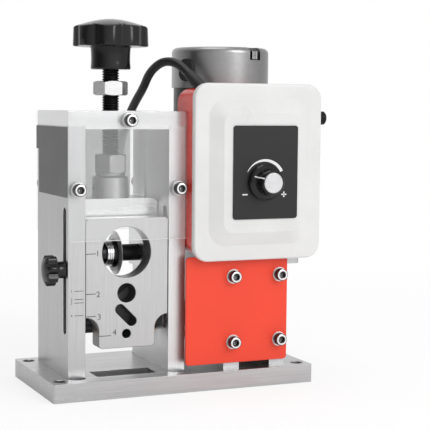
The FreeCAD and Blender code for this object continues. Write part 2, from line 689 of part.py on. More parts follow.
def swivel_boss():
    """The boss on the block that carries the screw's journal, with the screw that keeps the journal in it."""
    boss = new_body("boss_bush", kept=False)
    journal_bore = dim.journal_size + dim.running_play
    height = boss_top - block_top
    turned(boss, [(journal_bore / 2, 0), (dim.boss_base_size / 2, 0), (dim.boss_top_size / 2, height - 1),
                  (dim.boss_top_size / 2 - 1, height), (journal_bore / 2, height)])
    drill(boss, "YZ", -dim.boss_base_size / 2 - 1, [(0, 7)], dim.retainer_size + dim.screw_play,
          dim.boss_base_size / 2 + 1)
    place(boss, dim.frame_x, dim.frame_y, block_top)
    retainer = new_body("retaining_screw", kept=False)
    tip = dim.journal_groove / 2 + 0.2
    length = dim.boss_top_size / 2 - 1
    radius = dim.retainer_size / 2
    turned(retainer, [(0, tip), (radius - 0.8, tip), (radius, tip + 0.8), (radius, length), (0, length)])
    socket = new_sketch(retainer, "XY", length - 2)
    hexagon(socket, dim.retainer_size / 2)
    cut(retainer, socket, 3)
    place(retainer, dim.frame_x, dim.frame_y, block_top + 7, "-X")
    gather("swivel_boss", [boss, retainer])


def screw_group():
    adjusting_screw()
    knob = star_knob("star_knob", dim.knob_size, dim.knob_hub, dim.knob_hub_height, dim.knob_height,
                     dim.knob_dome, dim.knob_lobes, screw_bore, dim.screw_top - dim.knob_bottom + 0.1)
    place(knob, dim.frame_x, dim.frame_y, dim.knob_bottom)
    nut = hex_nut("lock_nut", dim.nut_flats, dim.nut_height, screw_bore, 52)
    place(nut, dim.frame_x, dim.frame_y, dim.nut_bottom)
    swivel_boss()


# Slide block and blade.

def slide_block():
    body = new_body("slide_block")
    sketch = new_sketch(body, "XZ", block_front_y)
    left_arm = block_left + dim.arm_thickness
    right_arm = block_right - dim.arm_thickness
    outline(sketch, [(block_left, dim.arm_bottom), (left_arm, dim.arm_bottom),
                     (left_arm, dim.block_bottom, 2), (right_arm, dim.block_bottom, 2),
                     (right_arm, dim.arm_bottom), (block_right, dim.arm_bottom),
                     (block_right, block_top, dim.block_corner), (block_left, block_top, dim.block_corner)])
    pad(body, sketch, dim.block_front + dim.block_rear)
    key_reach = dim.block_play + dim.track_depth - dim.key_play
    key_low = dim.track_y - dim.track_width / 2 + dim.key_play
    key_high = dim.track_y + dim.track_width / 2 - dim.key_play
    for start in (block_left - key_reach, block_right - 1):
        key = new_sketch(body, "YZ", start)
        rectangle(key, key_low, dim.arm_bottom, key_high, block_top - dim.block_corner)
        pad(body, key, key_reach + 1)
    boss = new_sketch(body, "YZ", left_arm)
    circle(boss, dim.shaft_y, dim.blade_z, dim.hub_size)
    pad(body, boss, blade_nut_left - left_arm - dim.blade_side_play)
    drill(body, "YZ", block_left, [(dim.shaft_y, dim.blade_z)], dim.axle_size + dim.running_play)


blade_collar_left = dim.blade_right - dim.blade_thickness - dim.blade_collar_width
blade_washer_left = blade_collar_left - dim.blade_washer_width
blade_nut_left = blade_washer_left - dim.blade_nut_width


def blade_group():
    place_on = dict(y=dim.shaft_y, z=dim.blade_z, axis="X")
    axle_left = block_left + 0.4
    axle = new_body("blade_axle")
    length = block_right - block_left - 0.8
    turned(axle, [(0, 0), (dim.axle_size / 2 - 0.5, 0), (dim.axle_size / 2, 0.5),
                  (dim.axle_size / 2, length - 0.5), (dim.axle_size / 2 - 0.5, length), (0, length)])
    place(axle, axle_left, **place_on)
    bore = dim.axle_size + dim.running_play
    shoulder = dim.blade_right
    hub_length = block_right - dim.arm_thickness - dim.blade_side_play - shoulder
    neck = dim.blade_bore / 2 - 0.05
    neck_start = blade_nut_left - shoulder
    hub = new_body("blade_hub")
    turned(hub, [(bore / 2, neck_start), (neck, neck_start), (neck, 0), (dim.hub_size / 2, 0),
                 (dim.hub_size / 2, hub_length), (bore / 2, hub_length)])
    place(hub, shoulder, **place_on)
    blade = new_body("cutting_blade")
    edge = dim.blade_thickness / 2
    rim = dim.blade_size / 2
    bevel = rim - dim.blade_bevel
    bore = dim.blade_bore / 2
    turned(blade, [(bore, -dim.blade_thickness), (bevel, -dim.blade_thickness), (rim, -edge - 0.05),
                   (rim, -edge + 0.05), (bevel, 0), (bore, 0)])
    place(blade, shoulder, **place_on)
    collar = new_body("blade_collar")
    ring(collar, dim.blade_bore, dim.blade_collar_size, 0, dim.blade_collar_width)
    soften(collar, "Chamfer", 0.4, lambda edge, middle: is_circle(edge, dim.blade_collar_size / 2))
    place(collar, blade_collar_left, **place_on)
    disc = new_body("blade_washer")
    ring(disc, dim.blade_bore, dim.blade_washer_size, 0, dim.blade_washer_width)
    place(disc, blade_washer_left, **place_on)
    nut = hex_nut("blade_nut", dim.blade_nut_flats, dim.blade_nut_width, dim.blade_bore, 0, ends="low")
    place(nut, blade_nut_left, **place_on)


# Guide plate and its clamp.

def guide_plate():
    body = new_body("guide_plate")
    sketch = new_sketch(body, "XZ", guide_front)
    notch_left = guide_left + dim.guide_notch
    notch_right = guide_right - dim.guide_notch
    outline(sketch, [(guide_left, dim.guide_shoulder), (notch_left, dim.guide_shoulder),
                     (notch_left, dim.guide_bottom), (notch_right, dim.guide_bottom),
                     (notch_right, dim.guide_shoulder), (guide_right, dim.guide_shoulder),
                     (guide_right, dim.guide_top, dim.guide_corner),
                     (guide_left, dim.guide_top, dim.guide_corner)])
    pad(body, sketch, dim.guide_thickness)
    notches = new_sketch(body, "XZ", guide_front)
    for x in (guide_left, guide_right):
        circle(notches, x, dim.guide_shoulder - dim.guide_notch + 0.4, dim.guide_notch * 2)
    cut(body, notches)
    return body


def guide_details(body):
    x = dim.guide_hole_x
    holes = new_sketch(body, "XZ", guide_front)
    circle(holes, x, dim.guide_hole_one_z, dim.guide_hole_one)
    circle(holes, x, dim.guide_hole_two_z, dim.guide_hole_two)
    circle(holes, x, dim.guide_hole_four_z, dim.guide_hole_four)
    reach = dim.guide_slot_reach
    slot(holes, x - 0.4 - reach, dim.guide_slot_z + reach, x - 0.4 + reach, dim.guide_slot_z - reach,
         dim.guide_slot_width)
    cut(body, holes)
    drill(body, "YZ", guide_left, [(dim.slot_y, dim.stud_z)], dim.stud_size + dim.running_play, 10)
    drill(body, "YZ", guide_right - 8, [(dim.slot_y, dim.stud_z)], dim.stud_size + dim.running_play, 8)


def guide_group():
    guide_details(guide_plate())
    guide_pin = new_body("guide_pin")
    length = right_outer - 0.2 - (guide_right - 8)
    radius = dim.slot_width / 2 - 0.1
    turned(guide_pin, [(0, 0), (dim.stud_size / 2, 0), (dim.stud_size / 2, 8), (radius, 8),
                       (radius, length - 0.5), (radius - 0.5, length), (0, length)])
    place(guide_pin, guide_right - 8, dim.slot_y, dim.stud_z, "X")
    knob_face = left_outer - 0.3
    knob = star_knob("side_knob", dim.clamp_size, dim.clamp_hub, dim.clamp_hub_height, dim.clamp_height,
                     dim.clamp_dome, dim.clamp_lobes, dim.stud_size, 8)
    place(knob, knob_face, dim.slot_y, dim.stud_z, "-X")
    stud = new_body("side_stud")
    stud_left = knob_face - 7.9
    stud_length = guide_left + 9 - stud_left
    radius = dim.stud_size / 2
    turned(stud, [(0, 0), (radius, 0), (radius, stud_length - 0.5), (radius - 0.5, stud_length),
                  (0, stud_length)])
    place(stud, stud_left, dim.slot_y, dim.stud_z, "X")


# Feed roller, coupling and worm drive.

def on_shaft(piece, x):
    place(piece, x, dim.shaft_y, dim.shaft_z, "X")


def feed_roller():
    body = new_body("feed_roller")
    ring(body, shaft_bore, dim.roller_size, 0, dim.roller_width)
    flute = new_sketch(body, "XY", -1)
    half = dim.roller_size * (math.pi / 2) / dim.flute_count * 0.8
    outer = dim.roller_size / 2
    outline(flute, [(outer - dim.flute_depth, 0), (outer + 0.4, -half), (outer + 0.4, half)])
    around(body, cut(body, flute, dim.roller_width + 2), dim.flute_count)
    on_shaft(body, dim.roller_x - dim.roller_width / 2)


def shaft(name, left, right):
    body = new_body(name)
    radius = dim.shaft_size / 2
    length = right - left
    turned(body, [(0, 0), (radius - 0.6, 0), (radius, 0.6), (radius, length - 0.6), (radius - 0.6, length),
                  (0, length)])
    on_shaft(body, left)
    return body


def sector(sketch, inner, outer, spread, turn=0):
    """A straight-sided piece of a ring, spread degrees either side of a turn."""
    spots = ((inner, -spread), (outer, -spread), (outer / math.cos(math.radians(spread)), 0),
             (outer, spread), (inner, spread))
    outline(sketch, [(radius * round(math.cos(math.radians(turn + angle)), 9),
                      radius * round(math.sin(math.radians(turn + angle)), 9)) for radius, angle in spots])


def coupling_hub():
    """Half of a jaw coupling, its three jaws standing on its own +Z side."""
    body = new_body("coupling_hub", kept=False)
    ring(body, shaft_bore, dim.coupling_size, 0, dim.coupling_hub)
    jaw = new_sketch(body, "XY", dim.coupling_hub - 0.5)
    sector(jaw, dim.shaft_size / 2 + 2.5, dim.coupling_size / 2 - 1, 17)
    around(body, pad(body, jaw, dim.jaw_length + 0.5), 3)
    return body


footstep_journal = dim.motor_shaft - 2
footstep_seat = dim.motor_shaft + 4


def worm_shaft():
    """Motor shaft with the worm cut into it, from its footstep bearing to the top bearing."""
    pitch = value_of(dim.worm_module) * math.pi
    module = value_of(dim.worm_module)
    pitch_radius = value_of(dim.worm_pitch_size) / 2
    tip = pitch_radius + module
    root = pitch_radius - 1.25 * module
    low = value_of(dim.shaft_z - dim.worm_half_length)
    high = value_of(dim.shaft_z + dim.worm_half_length)
    bottom = value_of(dim.base_thickness) + 1.5
    top = value_of(motor_top) - 5
    radius = value_of(dim.motor_shaft) / 2
    corners = [(0, bottom), (radius - 1, bottom), (radius - 1, low - 1), (root, low), (root, high),
               (radius, high + 1), (radius, top - 0.5), (radius - 0.5, top), (0, top)]
    core = Part.Face(Part.makePolygon([point(r, 0, z) for r, z in corners + corners[:1]]))
    core = core.revolve(FreeCAD.Vector(0, 0, 0), UP, 360)
    slope = math.tan(math.radians(20))
    half = pitch / 4 - value_of(dim.flank_play) / 2
    inner = root - 0.2
    middle = low - pitch
    turns = (high - low) / pitch + 2
    profile = [(inner, middle - half - (pitch_radius - inner) * slope), (tip, middle - half + module * slope),
               (tip, middle + half - module * slope), (inner, middle + half + (pitch_radius - inner) * slope)]
    spine = Part.makeHelix(pitch, turns * pitch, pitch_radius)
    spine.translate(FreeCAD.Vector(0, 0, middle))
    rib = Part.BRepOffsetAPI.MakePipeShell(spine)
    rib.setFrenetMode(True)
    rib.add(Part.makePolygon([point(r, 0, z) for r, z in profile + profile[:1]]))
    rib.build()
    rib.makeSolid()
    # The thread crest stands level with the wheel's axis on the side that faces the wheel.
    shift = (value_of(dim.shaft_z) - middle + pitch / 4) % pitch
    thread = rib.shape()
    thread.translate(FreeCAD.Vector(0, 0, shift))
    thread = thread.common(Part.makeCylinder(tip + 1, high - low, FreeCAD.Vector(0, 0, low)))
    place(feature_from("worm_shaft", core.fuse(thread)), dim.gear_x, motor_y)


def wheel_profile(turn):
    """The wheel's outline of involute teeth as one closed wire, with a gap at 90 degrees plus the turn."""
    teeth = int(value_of(dim.wheel_teeth))
    module = value_of(dim.worm_module)
    pitch_radius = module * teeth / 2
    base_radius = pitch_radius * math.cos(math.radians(20))
    root = pitch_radius - 1.25 * module
    tip = pitch_radius + module

    def lean(radius):
        angle = math.acos(min(1, base_radius / radius))
        return math.tan(angle) - angle

    half_pitch_tooth = (math.pi * module / 2 - value_of(dim.flank_play)) / 2 / pitch_radius
    steps = [root] + [base_radius + (tip - base_radius) * k / 3 for k in range(4)]
    spots = []
    for tooth in range(teeth):
        middle = math.pi / 2 + turn + 2 * math.pi * (tooth + 0.5) / teeth
        flank = [(r, half_pitch_tooth + lean(pitch_radius) - lean(max(r, base_radius))) for r in steps]
        spots += [(r, middle - half) for r, half in flank]
        spots += [(r, middle + half) for r, half in reversed(flank)]
    wire = [FreeCAD.Vector(r * math.cos(angle), r * math.sin(angle), 0) for r, angle in spots]
    return Part.makePolygon(wire + wire[:1])


def worm_wheel():
    width = value_of(dim.wheel_width)
    pitch_radius = value_of(dim.worm_module * dim.wheel_teeth) / 2
    lead_slope = value_of(dim.worm_module) / value_of(dim.worm_pitch_size)
    twist = width * lead_slope / pitch_radius
    lower = wheel_profile(-twist / 2)
    upper = wheel_profile(twist / 2)
    upper.translate(FreeCAD.Vector(0, 0, width))
    teeth = Part.makeLoft([lower, upper], True, True)
    gap = value_of(dim.gear_plate_gap)
    hub_length = gap - 0.8
    hub_bottom = FreeCAD.Vector(0, 0, (width - hub_length) / 2)
    hub = Part.makeCylinder(value_of(dim.wheel_hub) / 2, hub_length, hub_bottom)
    bore = Part.makeCylinder(value_of(shaft_bore) / 2, gap, FreeCAD.Vector(0, 0, (width - gap) / 2))
    piece = feature_from("worm_wheel", teeth.fuse(hub).cut(bore))
    on_shaft(piece, dim.gear_x - dim.wheel_width / 2)


def bush(name, bore, outer, length, x, y, z, axis):
    body = new_body(name, kept=False)
    ring(body, bore, outer, 0, length)
    place(body, x, y, z, axis)
    return body


def drive_group():
    feed_roller()
    coupling_left = right_outer + dim.coupling_gap
    coupling_length = 2 * dim.coupling_hub + dim.jaw_length + 2 * dim.jaw_play
    coupling_middle = coupling_left + coupling_length / 2
    shaft("roller_shaft", left_inner - dim.blind_bush_length + 0.5, coupling_middle - 1)
    shaft("gear_shaft", coupling_middle + 1, gear_plate_b_right - 0.6)
    gather("coupling_hubs", copies(coupling_hub(), [
        (coupling_left, dim.shaft_y, dim.shaft_z, "X"),
        (coupling_left + coupling_length, dim.shaft_y, dim.shaft_z, "-X")]))
    spider = new_body("coupling_spider")
    thick = dim.jaw_length
    ring(spider, dim.shaft_size + 1, dim.shaft_size + 3.8, 0, thick)
    leg = new_sketch(spider)
    sector(leg, dim.shaft_size / 2 + 1.5, dim.coupling_size / 2 - 1.2, 12, 30)
    around(spider, pad(spider, leg, thick), 6)
    on_shaft(spider, coupling_middle - thick / 2)
    worm_shaft()
    worm_wheel()
    outer = dim.bush_size - dim.running_play
    plate_bush = new_body("gearbox_bush", kept=False)
    ring(plate_bush, shaft_bore, outer, 0, dim.gear_plate_thickness)
    bushes = copies(plate_bush, [(x, dim.shaft_y, dim.shaft_z, "X") for x in (gear_plate_a, gear_plate_b)])
    on = (dim.shaft_y, dim.shaft_z, "X")
    blind_left = left_inner - dim.blind_bush_length
    blind_length = dim.blind_bush_length - 0.2
    bushes.append(bush("left_roller_bush", shaft_bore, outer, blind_length, blind_left + 0.2, *on))
    bushes.append(bush("right_roller_bush", shaft_bore, outer, dim.upright_thickness, right_inner, *on))
    bushes.append(bush("footstep_bush", footstep_journal + dim.running_play, footstep_seat - dim.running_play,
                       dim.footstep_height - 1, dim.gear_x, motor_y, dim.base_thickness + 1, "Z"))
    gather("shaft_bushes", bushes)


# Gearbox plates, motor plate and cover.

def gear_plates():
    body = new_body("gear_plate", kept=False)
    sketch = new_sketch(body, "YZ")
    rectangle(sketch, gear_front, seat_top, gear_rear, dim.gear_plate_top)
    pad(body, sketch, dim.gear_plate_thickness)
    drill(body, "YZ", 0, [(dim.shaft_y, dim.shaft_z)], dim.bush_size)
    middle = dim.gear_plate_thickness / 2
    drill(body, "XZ", gear_front, [(middle, dim.cover_screw_low), (middle, dim.cover_screw_high)],
          dim.panel_screw + dim.screw_play, dim.panel_shank)
    drill(body, "XY", seat_top, [(middle, y) for y in gear_screw_depths], thread_hole, dim.frame_shank)
    drill(body, "XY", dim.gear_plate_top - dim.frame_shank, [(middle, y) for y in motor_plate_screw_depths],
          thread_hole, dim.frame_shank)
    gather("gear_plates", copies(body, [(gear_plate_a,), (gear_plate_b,)]))


def motor_plate():
    body = new_body("motor_plate")
    sketch = new_sketch(body, "XY", dim.gear_plate_top)
    left = dim.gear_x - dim.motor_plate_left
    right = dim.gear_x + dim.motor_plate_right
    rear = motor_y + dim.motor_size / 2
    round_rear = dim.motor_plate_left - 0.5
    outline(sketch, [(left, gear_front, 3), (right, gear_front, 3), (right, rear, round_rear),
                     (left, rear, round_rear)])
    pad(body, sketch, dim.motor_plate_thickness)
    drill(body, "XY", dim.gear_plate_top, [(dim.gear_x, motor_y)], dim.motor_shaft + 4)
    drill(body, "XY", dim.gear_plate_top, [(dim.gear_x, y) for y in motor_screw_depths],
          dim.panel_screw + dim.screw_play)
    drill(body, "XY", dim.gear_plate_top, motor_plate_screw_spots, dim.frame_screw + dim.clearance_play)
    clear_radius = (dim.frame_screw + dim.clearance_play) / 2
    soften(body, "Chamfer", (dim.frame_head - dim.frame_screw) / 2 + 0.2,
           lambda edge, middle: is_circle(edge, clear_radius) and middle.z > value_of(motor_bottom) - 1)
    drill(body, "XY", dim.gear_plate_top, box_screw_spots, dim.box_screw + 0.1)


box_screw_spots = [(x, dim.box_front + dim.box_depth / 2 + 2) for x in (dim.gear_x - 17, dim.gear_x + 17)]


def footstep():
    """The worm's lower bearing block between the gear plates."""
    body = new_body("footstep_block")
    sketch = new_sketch(body, "XY", dim.base_thickness)
    left = gear_plate_a + dim.gear_plate_thickness
    rectangle(sketch, left + 0.05, motor_y - 11, gear_plate_b - 0.05, motor_y + 11)
    pad(body, sketch, dim.footstep_height)
    drill(body, "XY", dim.base_thickness + 1, [(dim.gear_x, motor_y)], footstep_seat, dim.footstep_height)


def cover_plate():
    body = new_body("red_cover_plate")
    sketch = new_sketch(body, "XZ", cover_front)
    rectangle(sketch, dim.gear_x - dim.cover_left, dim.cover_bottom, dim.gear_x + dim.cover_right,
              dim.cover_top, dim.cover_corner)
    pad(body, sketch, dim.cover_thickness)
    drill(body, "XZ", cover_front, cover_screw_spots, dim.panel_screw + dim.clearance_play)


# Control box with its lid, panel, dial and fuse.

def box_boss_spots():
    return [(x, z) for x in (dim.box_left + dim.box_boss_side, dim.box_right - dim.box_boss_side)
            for z in (motor_bottom + dim.box_boss_end, box_top - dim.box_boss_end)]


def control_box():
    body = new_body("control_box")
    sketch = new_sketch(body, "XZ", dim.box_front)
    rectangle(sketch, dim.box_left, motor_bottom, dim.box_right, box_top, dim.box_corner)
    pad(body, sketch, dim.box_depth)
    soften(body, "Fillet", 2, lambda edge, middle: abs(middle.y - value_of(box_rear)) < 1e-3)
    inside = new_sketch(body, "XZ", dim.box_front)
    wall = dim.box_wall
    rectangle(inside, dim.box_left + wall, motor_bottom + wall, dim.box_right - wall, box_top - wall,
              dim.box_corner - wall)
    cut(body, inside, dim.box_depth - wall)
    bosses = new_sketch(body, "XZ", dim.box_front)
    for x, z in box_boss_spots():
        circle(bosses, x, z, dim.box_boss)
    pad(body, bosses, dim.box_depth - wall + 0.5)
    drill(body, "XZ", dim.box_front, box_boss_spots(), dim.box_screw + dim.clearance_play)
    drill(body, "XY", box_top - wall - 1, [(dim.boot_x, dim.boot_y)], 8, wall + 3)
    drill(body, "YZ", dim.box_right - wall - 1, [(dim.fuse_y, dim.fuse_z)], dim.fuse_size + 0.2, wall + 3)
    drill(body, "XY", motor_bottom - 1, box_screw_spots, dim.box_screw + dim.clearance_play, wall + 3)


def box_lid():
    body = new_body("box_lid")
    front = dim.box_front - dim.lid_thickness
    left = dim.box_left - dim.lid_rim_left
    right = dim.box_right + dim.lid_rim
    low = motor_bottom - dim.lid_below
    high = box_top + dim.lid_above
    sketch = new_sketch(body, "XZ", front)
    rectangle(sketch, left, low, right, high, dim.box_corner)
    pad(body, sketch, dim.lid_thickness)
    soften(body, "Fillet", 1.4, lambda edge, middle: abs(middle.y - value_of(front)) < 1e-3)
    side = dim.lid_side
    field = (left + side, low + side, right - side, high - side)
    slope = dim.lid_slope
    wall = dim.lid_wall
    raised(body, "AdditiveLoft", front, dim.lid_rise, field, slope, dim.lid_field_corner)
    pocket = new_sketch(body, "XZ", front + wall)
    hollow = tuple(edge + wall * sign for edge, sign in zip(field, (0.5, 0.5, -0.5, -0.5)))
    rectangle(pocket, *hollow, dim.lid_field_corner - wall / 2)
    cut(body, pocket, dim.lid_thickness - wall)
    hollow_corner = dim.lid_field_corner - wall / 2
    raised(body, "SubtractiveLoft", front + wall, dim.lid_rise, hollow, slope, hollow_corner)
    drill(body, "XZ", front - dim.lid_rise - 1, [(dim.dial_x, dim.dial_z)], dim.pot_bush + 0.1,
          dim.lid_rise + dim.lid_thickness)
    drill(body, "XZ", dim.box_front - dim.lid_thickness + 1.2, box_boss_spots(), dim.box_screw + 0.1,
          dim.lid_thickness)


def raised(body, kind, start, rise, field, slope, corner):
    """A field whose sloped sides rise towards the front by a loft of two rounded outlines."""
    before = volume(body)
    wide = new_sketch(body, "XZ", start)
    rectangle(wide, *field, corner)
    small = new_sketch(body, "XZ", start - rise)
    left, low, right, high = field
    rectangle(small, left + slope, low + slope, right - slope, high - slope, corner - slope / 2)
    feature = body.newObject(f"PartDesign::{kind}", f"{body.Name}_{kind.lower()}")
    feature.Profile = wide
    feature.Sections = [small]
    feature.Ruled = True
    return finish(body, feature, before, kind == "AdditiveLoft")


def control_group():
    control_box()
    box_lid()
    front = dim.box_front - dim.lid_thickness - dim.lid_rise
    panel_front = front - dim.panel_thickness
    panel = new_body("control_panel")
    sketch = new_sketch(panel, "XZ", panel_front)
    rectangle(sketch, dim.panel_left, dim.panel_bottom, dim.panel_right, dim.panel_top, dim.panel_corner)
    pad(panel, sketch, dim.panel_thickness)
    drill(panel, "XZ", panel_front, [(dim.dial_x, dim.dial_z)], dim.pot_bush + 0.1)
    inner_face = front + dim.lid_wall
    pot = new_body("potentiometer_case", kept=False)
    shaft_hole = dim.pot_shaft + dim.running_play
    behind = -dim.pot_depth
    bush_end = inner_face - panel_front + 2.2
    turned(pot, [(0, behind), (dim.pot_size / 2, behind), (dim.pot_size / 2, 0), (dim.pot_bush / 2, 0),
                 (dim.pot_bush / 2, bush_end), (shaft_hole / 2, bush_end), (shaft_hole / 2, behind + 3),
                 (0, behind + 3)])
    place(pot, dim.dial_x, inner_face, dim.dial_z, "-Y")
    nut = hex_nut("potentiometer_nut", dim.pot_nut_flats, 2, dim.pot_bush + 0.1, 0, kept=False, ends="high")
    place(nut, dim.dial_x, panel_front, dim.dial_z, "-Y")
    gather("potentiometer", [pot, nut])
    dial_back = panel_front - dim.dial_gap
    dial = new_body("dial_knob", kept=False)
    skirt = dim.dial_skirt / 2
    grip = dim.dial_grip / 2
    length = dim.dial_length
    turned(dial, [(6.5, 0), (skirt - 0.4, 0), (skirt, 0.4), (skirt, 2.4), (skirt - 0.8, 3.4),
                  (grip + 0.4, 4.6),
                  (grip, 5.6), (grip - 0.5, length - 0.6), (grip - 1.1, length),
                  (dim.dial_insert / 2 + 0.05, length), (dim.dial_insert / 2 + 0.05, length - 1.2),
                  (0, length - 1.2), (0, length - 3), (shaft_hole / 2, length - 3), (shaft_hole / 2, 2.6),
                  (6.5, 2.6)])
    flute = new_sketch(dial, "XY", 5.7)
    circle(flute, grip + 0.55, 0, 1.9)
    around(dial, cut(dial, flute, length), 18)
    place(dial, dim.dial_x, dial_back, dim.dial_z, "-Y")
    insert = new_body("knob_insert")
    turned(insert, [(0, 0), (dim.dial_insert / 2, 0), (dim.dial_insert / 2, 1.1),
                    (dim.dial_insert / 2 - 0.5, 1.5), (0, 1.5)])
    place(insert, dim.dial_x, dial_back - length + 1.2, dim.dial_z, "-Y")
    spindle = new_body("potentiometer_shaft", kept=False)
    pot_floor = inner_face + dim.pot_depth - 3.2
    spindle_length = pot_floor - dial_back + length - 3.2
    turned(spindle, [(0, 0), (dim.pot_shaft / 2, 0), (dim.pot_shaft / 2, spindle_length),
                     (0, spindle_length)])
    place(spindle, dim.dial_x, pot_floor, dim.dial_z, "-Y")
    gather("speed_knob", [dial, spindle])
    speed_controller()
    fuse()
    head = dim.box_screw * 1.75
    head_height = dim.box_screw * 0.6
    rear_screw = cap_screw("box_rear_screw", dim.box_screw, head, head_height, dim.box_depth + 2.6)
    floor_screw = cap_screw("box_floor_screw", dim.box_screw, head, head_height,
                            dim.box_wall + dim.motor_plate_thickness - 1)
    screws = copies(rear_screw, [(x, box_rear, z, "Y") for x, z in box_boss_spots()])
    screws += copies(floor_screw, [(x, y, motor_bottom + dim.box_wall, "Z") for x, y in box_screw_spots])
    gather("box_screws", screws)


def speed_controller():
    """The circuit board on four posts inside the box's rear wall, with its larger components."""
    body = new_body("speed_controller")
    wall_face = box_rear - dim.box_wall
    board_front = wall_face - 6
    left = dim.dial_x - dim.board_width * 0.46
    low = dim.dial_z - dim.board_height * 0.52
    right = left + dim.board_width
    high = low + dim.board_height
    sketch = new_sketch(body, "XZ", board_front)
    rectangle(sketch, left, low, right, high)
    pad(body, sketch, dim.board_thickness)
    posts = new_sketch(body, "XZ", board_front + dim.board_thickness)
    for x in (left + 4, right - 4):
        for z in (low + 4, high - 4):
            circle(posts, x, z, 5)
    pad(body, posts, 6 - dim.board_thickness)
    parts_sketch = new_sketch(body, "XZ", board_front - dim.board_parts)
    rectangle(parts_sketch, left + 6, low + 8, left + dim.board_width * 0.46, low + 22)
    circle(parts_sketch, right - 14, low + 16, 12)
    circle(parts_sketch, left + 16, high - 14, 10)
    rectangle(parts_sketch, right - 22, high - 22, right - 8, high - 12)
    pad(body, parts_sketch, dim.board_parts)


def fuse():
    body = new_body("fuse_sleeve", kept=False)
    half = dim.fuse_size / 2
    bore = dim.fuse_cap / 2 + 0.1
    turned(body, [(bore, -dim.fuse_depth), (half, -dim.fuse_depth), (half, 0),
                  (half + 0.9, 0), (half + 0.9, 1.4), (bore, 1.4)])
    place(body, dim.box_right, dim.fuse_y, dim.fuse_z, "X")
    cap = new_body("fuse_cap", kept=False)
    radius = dim.fuse_cap / 2
    turned(cap, [(0, -8), (radius - 1, -8), (radius - 1, 1.6), (radius, 1.6), (radius, dim.fuse_reach - 0.8),
                 (radius - 0.8, dim.fuse_reach), (0, dim.fuse_reach)])
    slit = new_sketch(cap, "XY", dim.fuse_reach - 1.2)
    rectangle(slit, -4, -0.6, 4, 0.6)
    cut(cap, slit, 2)
    place(cap, dim.box_right, dim.fuse_y, dim.fuse_z, "X")
    gather("fuse_holder", [body, cap])


# Motor.

grommet_angle = 204
grommet_half_width = 6.5
clip_angle = 292


def motor_group():
    at = dict(x=dim.gear_x, y=motor_y)
    outer = dim.motor_size / 2
    body_outer = outer - dim.motor_step
    body_inner = body_outer - dim.motor_wall
    height = dim.motor_body_height
    shaft_way = dim.motor_shaft / 2 + 1
    seat = dim.bearing_size / 2 + 0.05
    housing = new_body("motor_housing")
    seat_top = 4 + dim.bearing_width
    turned(housing, [(shaft_way, 0), (body_outer, 0), (body_outer, height), (body_inner, height),
                     (body_inner, 4), (seat + 2.5, 4), (seat + 2.5, seat_top), (seat, seat_top),
                     (seat, 4), (shaft_way, 4)])
    screw_reach = motor_screw_reach
    drill(housing, "XY", -1, [(0, -screw_reach), (0, screw_reach)], dim.panel_screw + dim.screw_play, 6)
    place(housing, z=motor_bottom, **at)
    cap = new_body("motor_cap")
    cap_height = dim.motor_cap_height
    roof = cap_height - 2.5
    seat_floor = roof - dim.bearing_width
    turned(cap, [(outer - 2.5, 0), (outer, 0), (outer, cap_height), (0, cap_height), (0, roof),
                 (seat, roof), (seat, seat_floor), (seat + 2.5, seat_floor), (seat + 2.5, roof),
                 (outer - 2.5, roof)])
    soften(cap, "Fillet", dim.motor_cap_edge,
           lambda edge, middle: is_circle(edge, outer) and middle.z > value_of(cap_height) - 0.1)
    cut_window(cap, grommet_angle, outer - 6, grommet_half_width, 4.5, 20.5, grommet_half_width - 0.5)
    cut_window(cap, clip_angle, outer - 8, 5.4, 20, cap_height + 1, 0)
    place(cap, z=motor_bottom + height, **at)
    armature = new_body("armature")
    radius = body_inner - dim.running_play / 2 - dim.magnet_thickness - dim.air_gap
    length = height - dim.armature_below - dim.armature_above
    ring(armature, dim.motor_shaft + dim.running_play, radius * 2, 0, length)
    slit = new_sketch(armature, "XY", -1)
    outline(slit, [(radius - 11, -2.4), (radius - 2, -3.4), (radius - 2, -1.1), (radius + 1, -1.1),
                   (radius + 1, 1.1), (radius - 2, 1.1), (radius - 2, 3.4), (radius - 11, 2.4)])
    around(armature, cut(armature, slit, length + 2), dim.armature_slots)
    armature_bottom = motor_bottom + dim.armature_below
    place(armature, z=armature_bottom, **at)
    commutator = new_body("commutator")
    ring(commutator, dim.motor_shaft + dim.running_play, dim.commutator_size, 0, dim.commutator_length)
    commutator_bottom = armature_bottom + length + 6
    place(commutator, z=commutator_bottom, **at)
    magnet = new_body("magnet", kept=False)
    arc = new_sketch(magnet)
    magnet_sector(arc, radius + dim.air_gap, radius + dim.air_gap + dim.magnet_thickness, math.radians(52))
    pad(magnet, arc, length + 6)
    magnet_bottom = armature_bottom - 3
    magnet_places = [(dim.gear_x, motor_y, magnet_bottom, "Z", turn) for turn in (0, 180)]
    gather("motor_magnets", copies(magnet, magnet_places))
    bearing = new_body("ball_bearing", kept=False)
    ring(bearing, dim.motor_shaft + dim.running_play, dim.bearing_size, 0, dim.bearing_width)
    top_bearing = motor_bottom + height + seat_floor
    bearing_places = [(dim.gear_x, motor_y, z) for z in (motor_bottom + 4, top_bearing)]
    gather("motor_bearings", copies(bearing, bearing_places))
    brushes(commutator_bottom, at, body_inner)


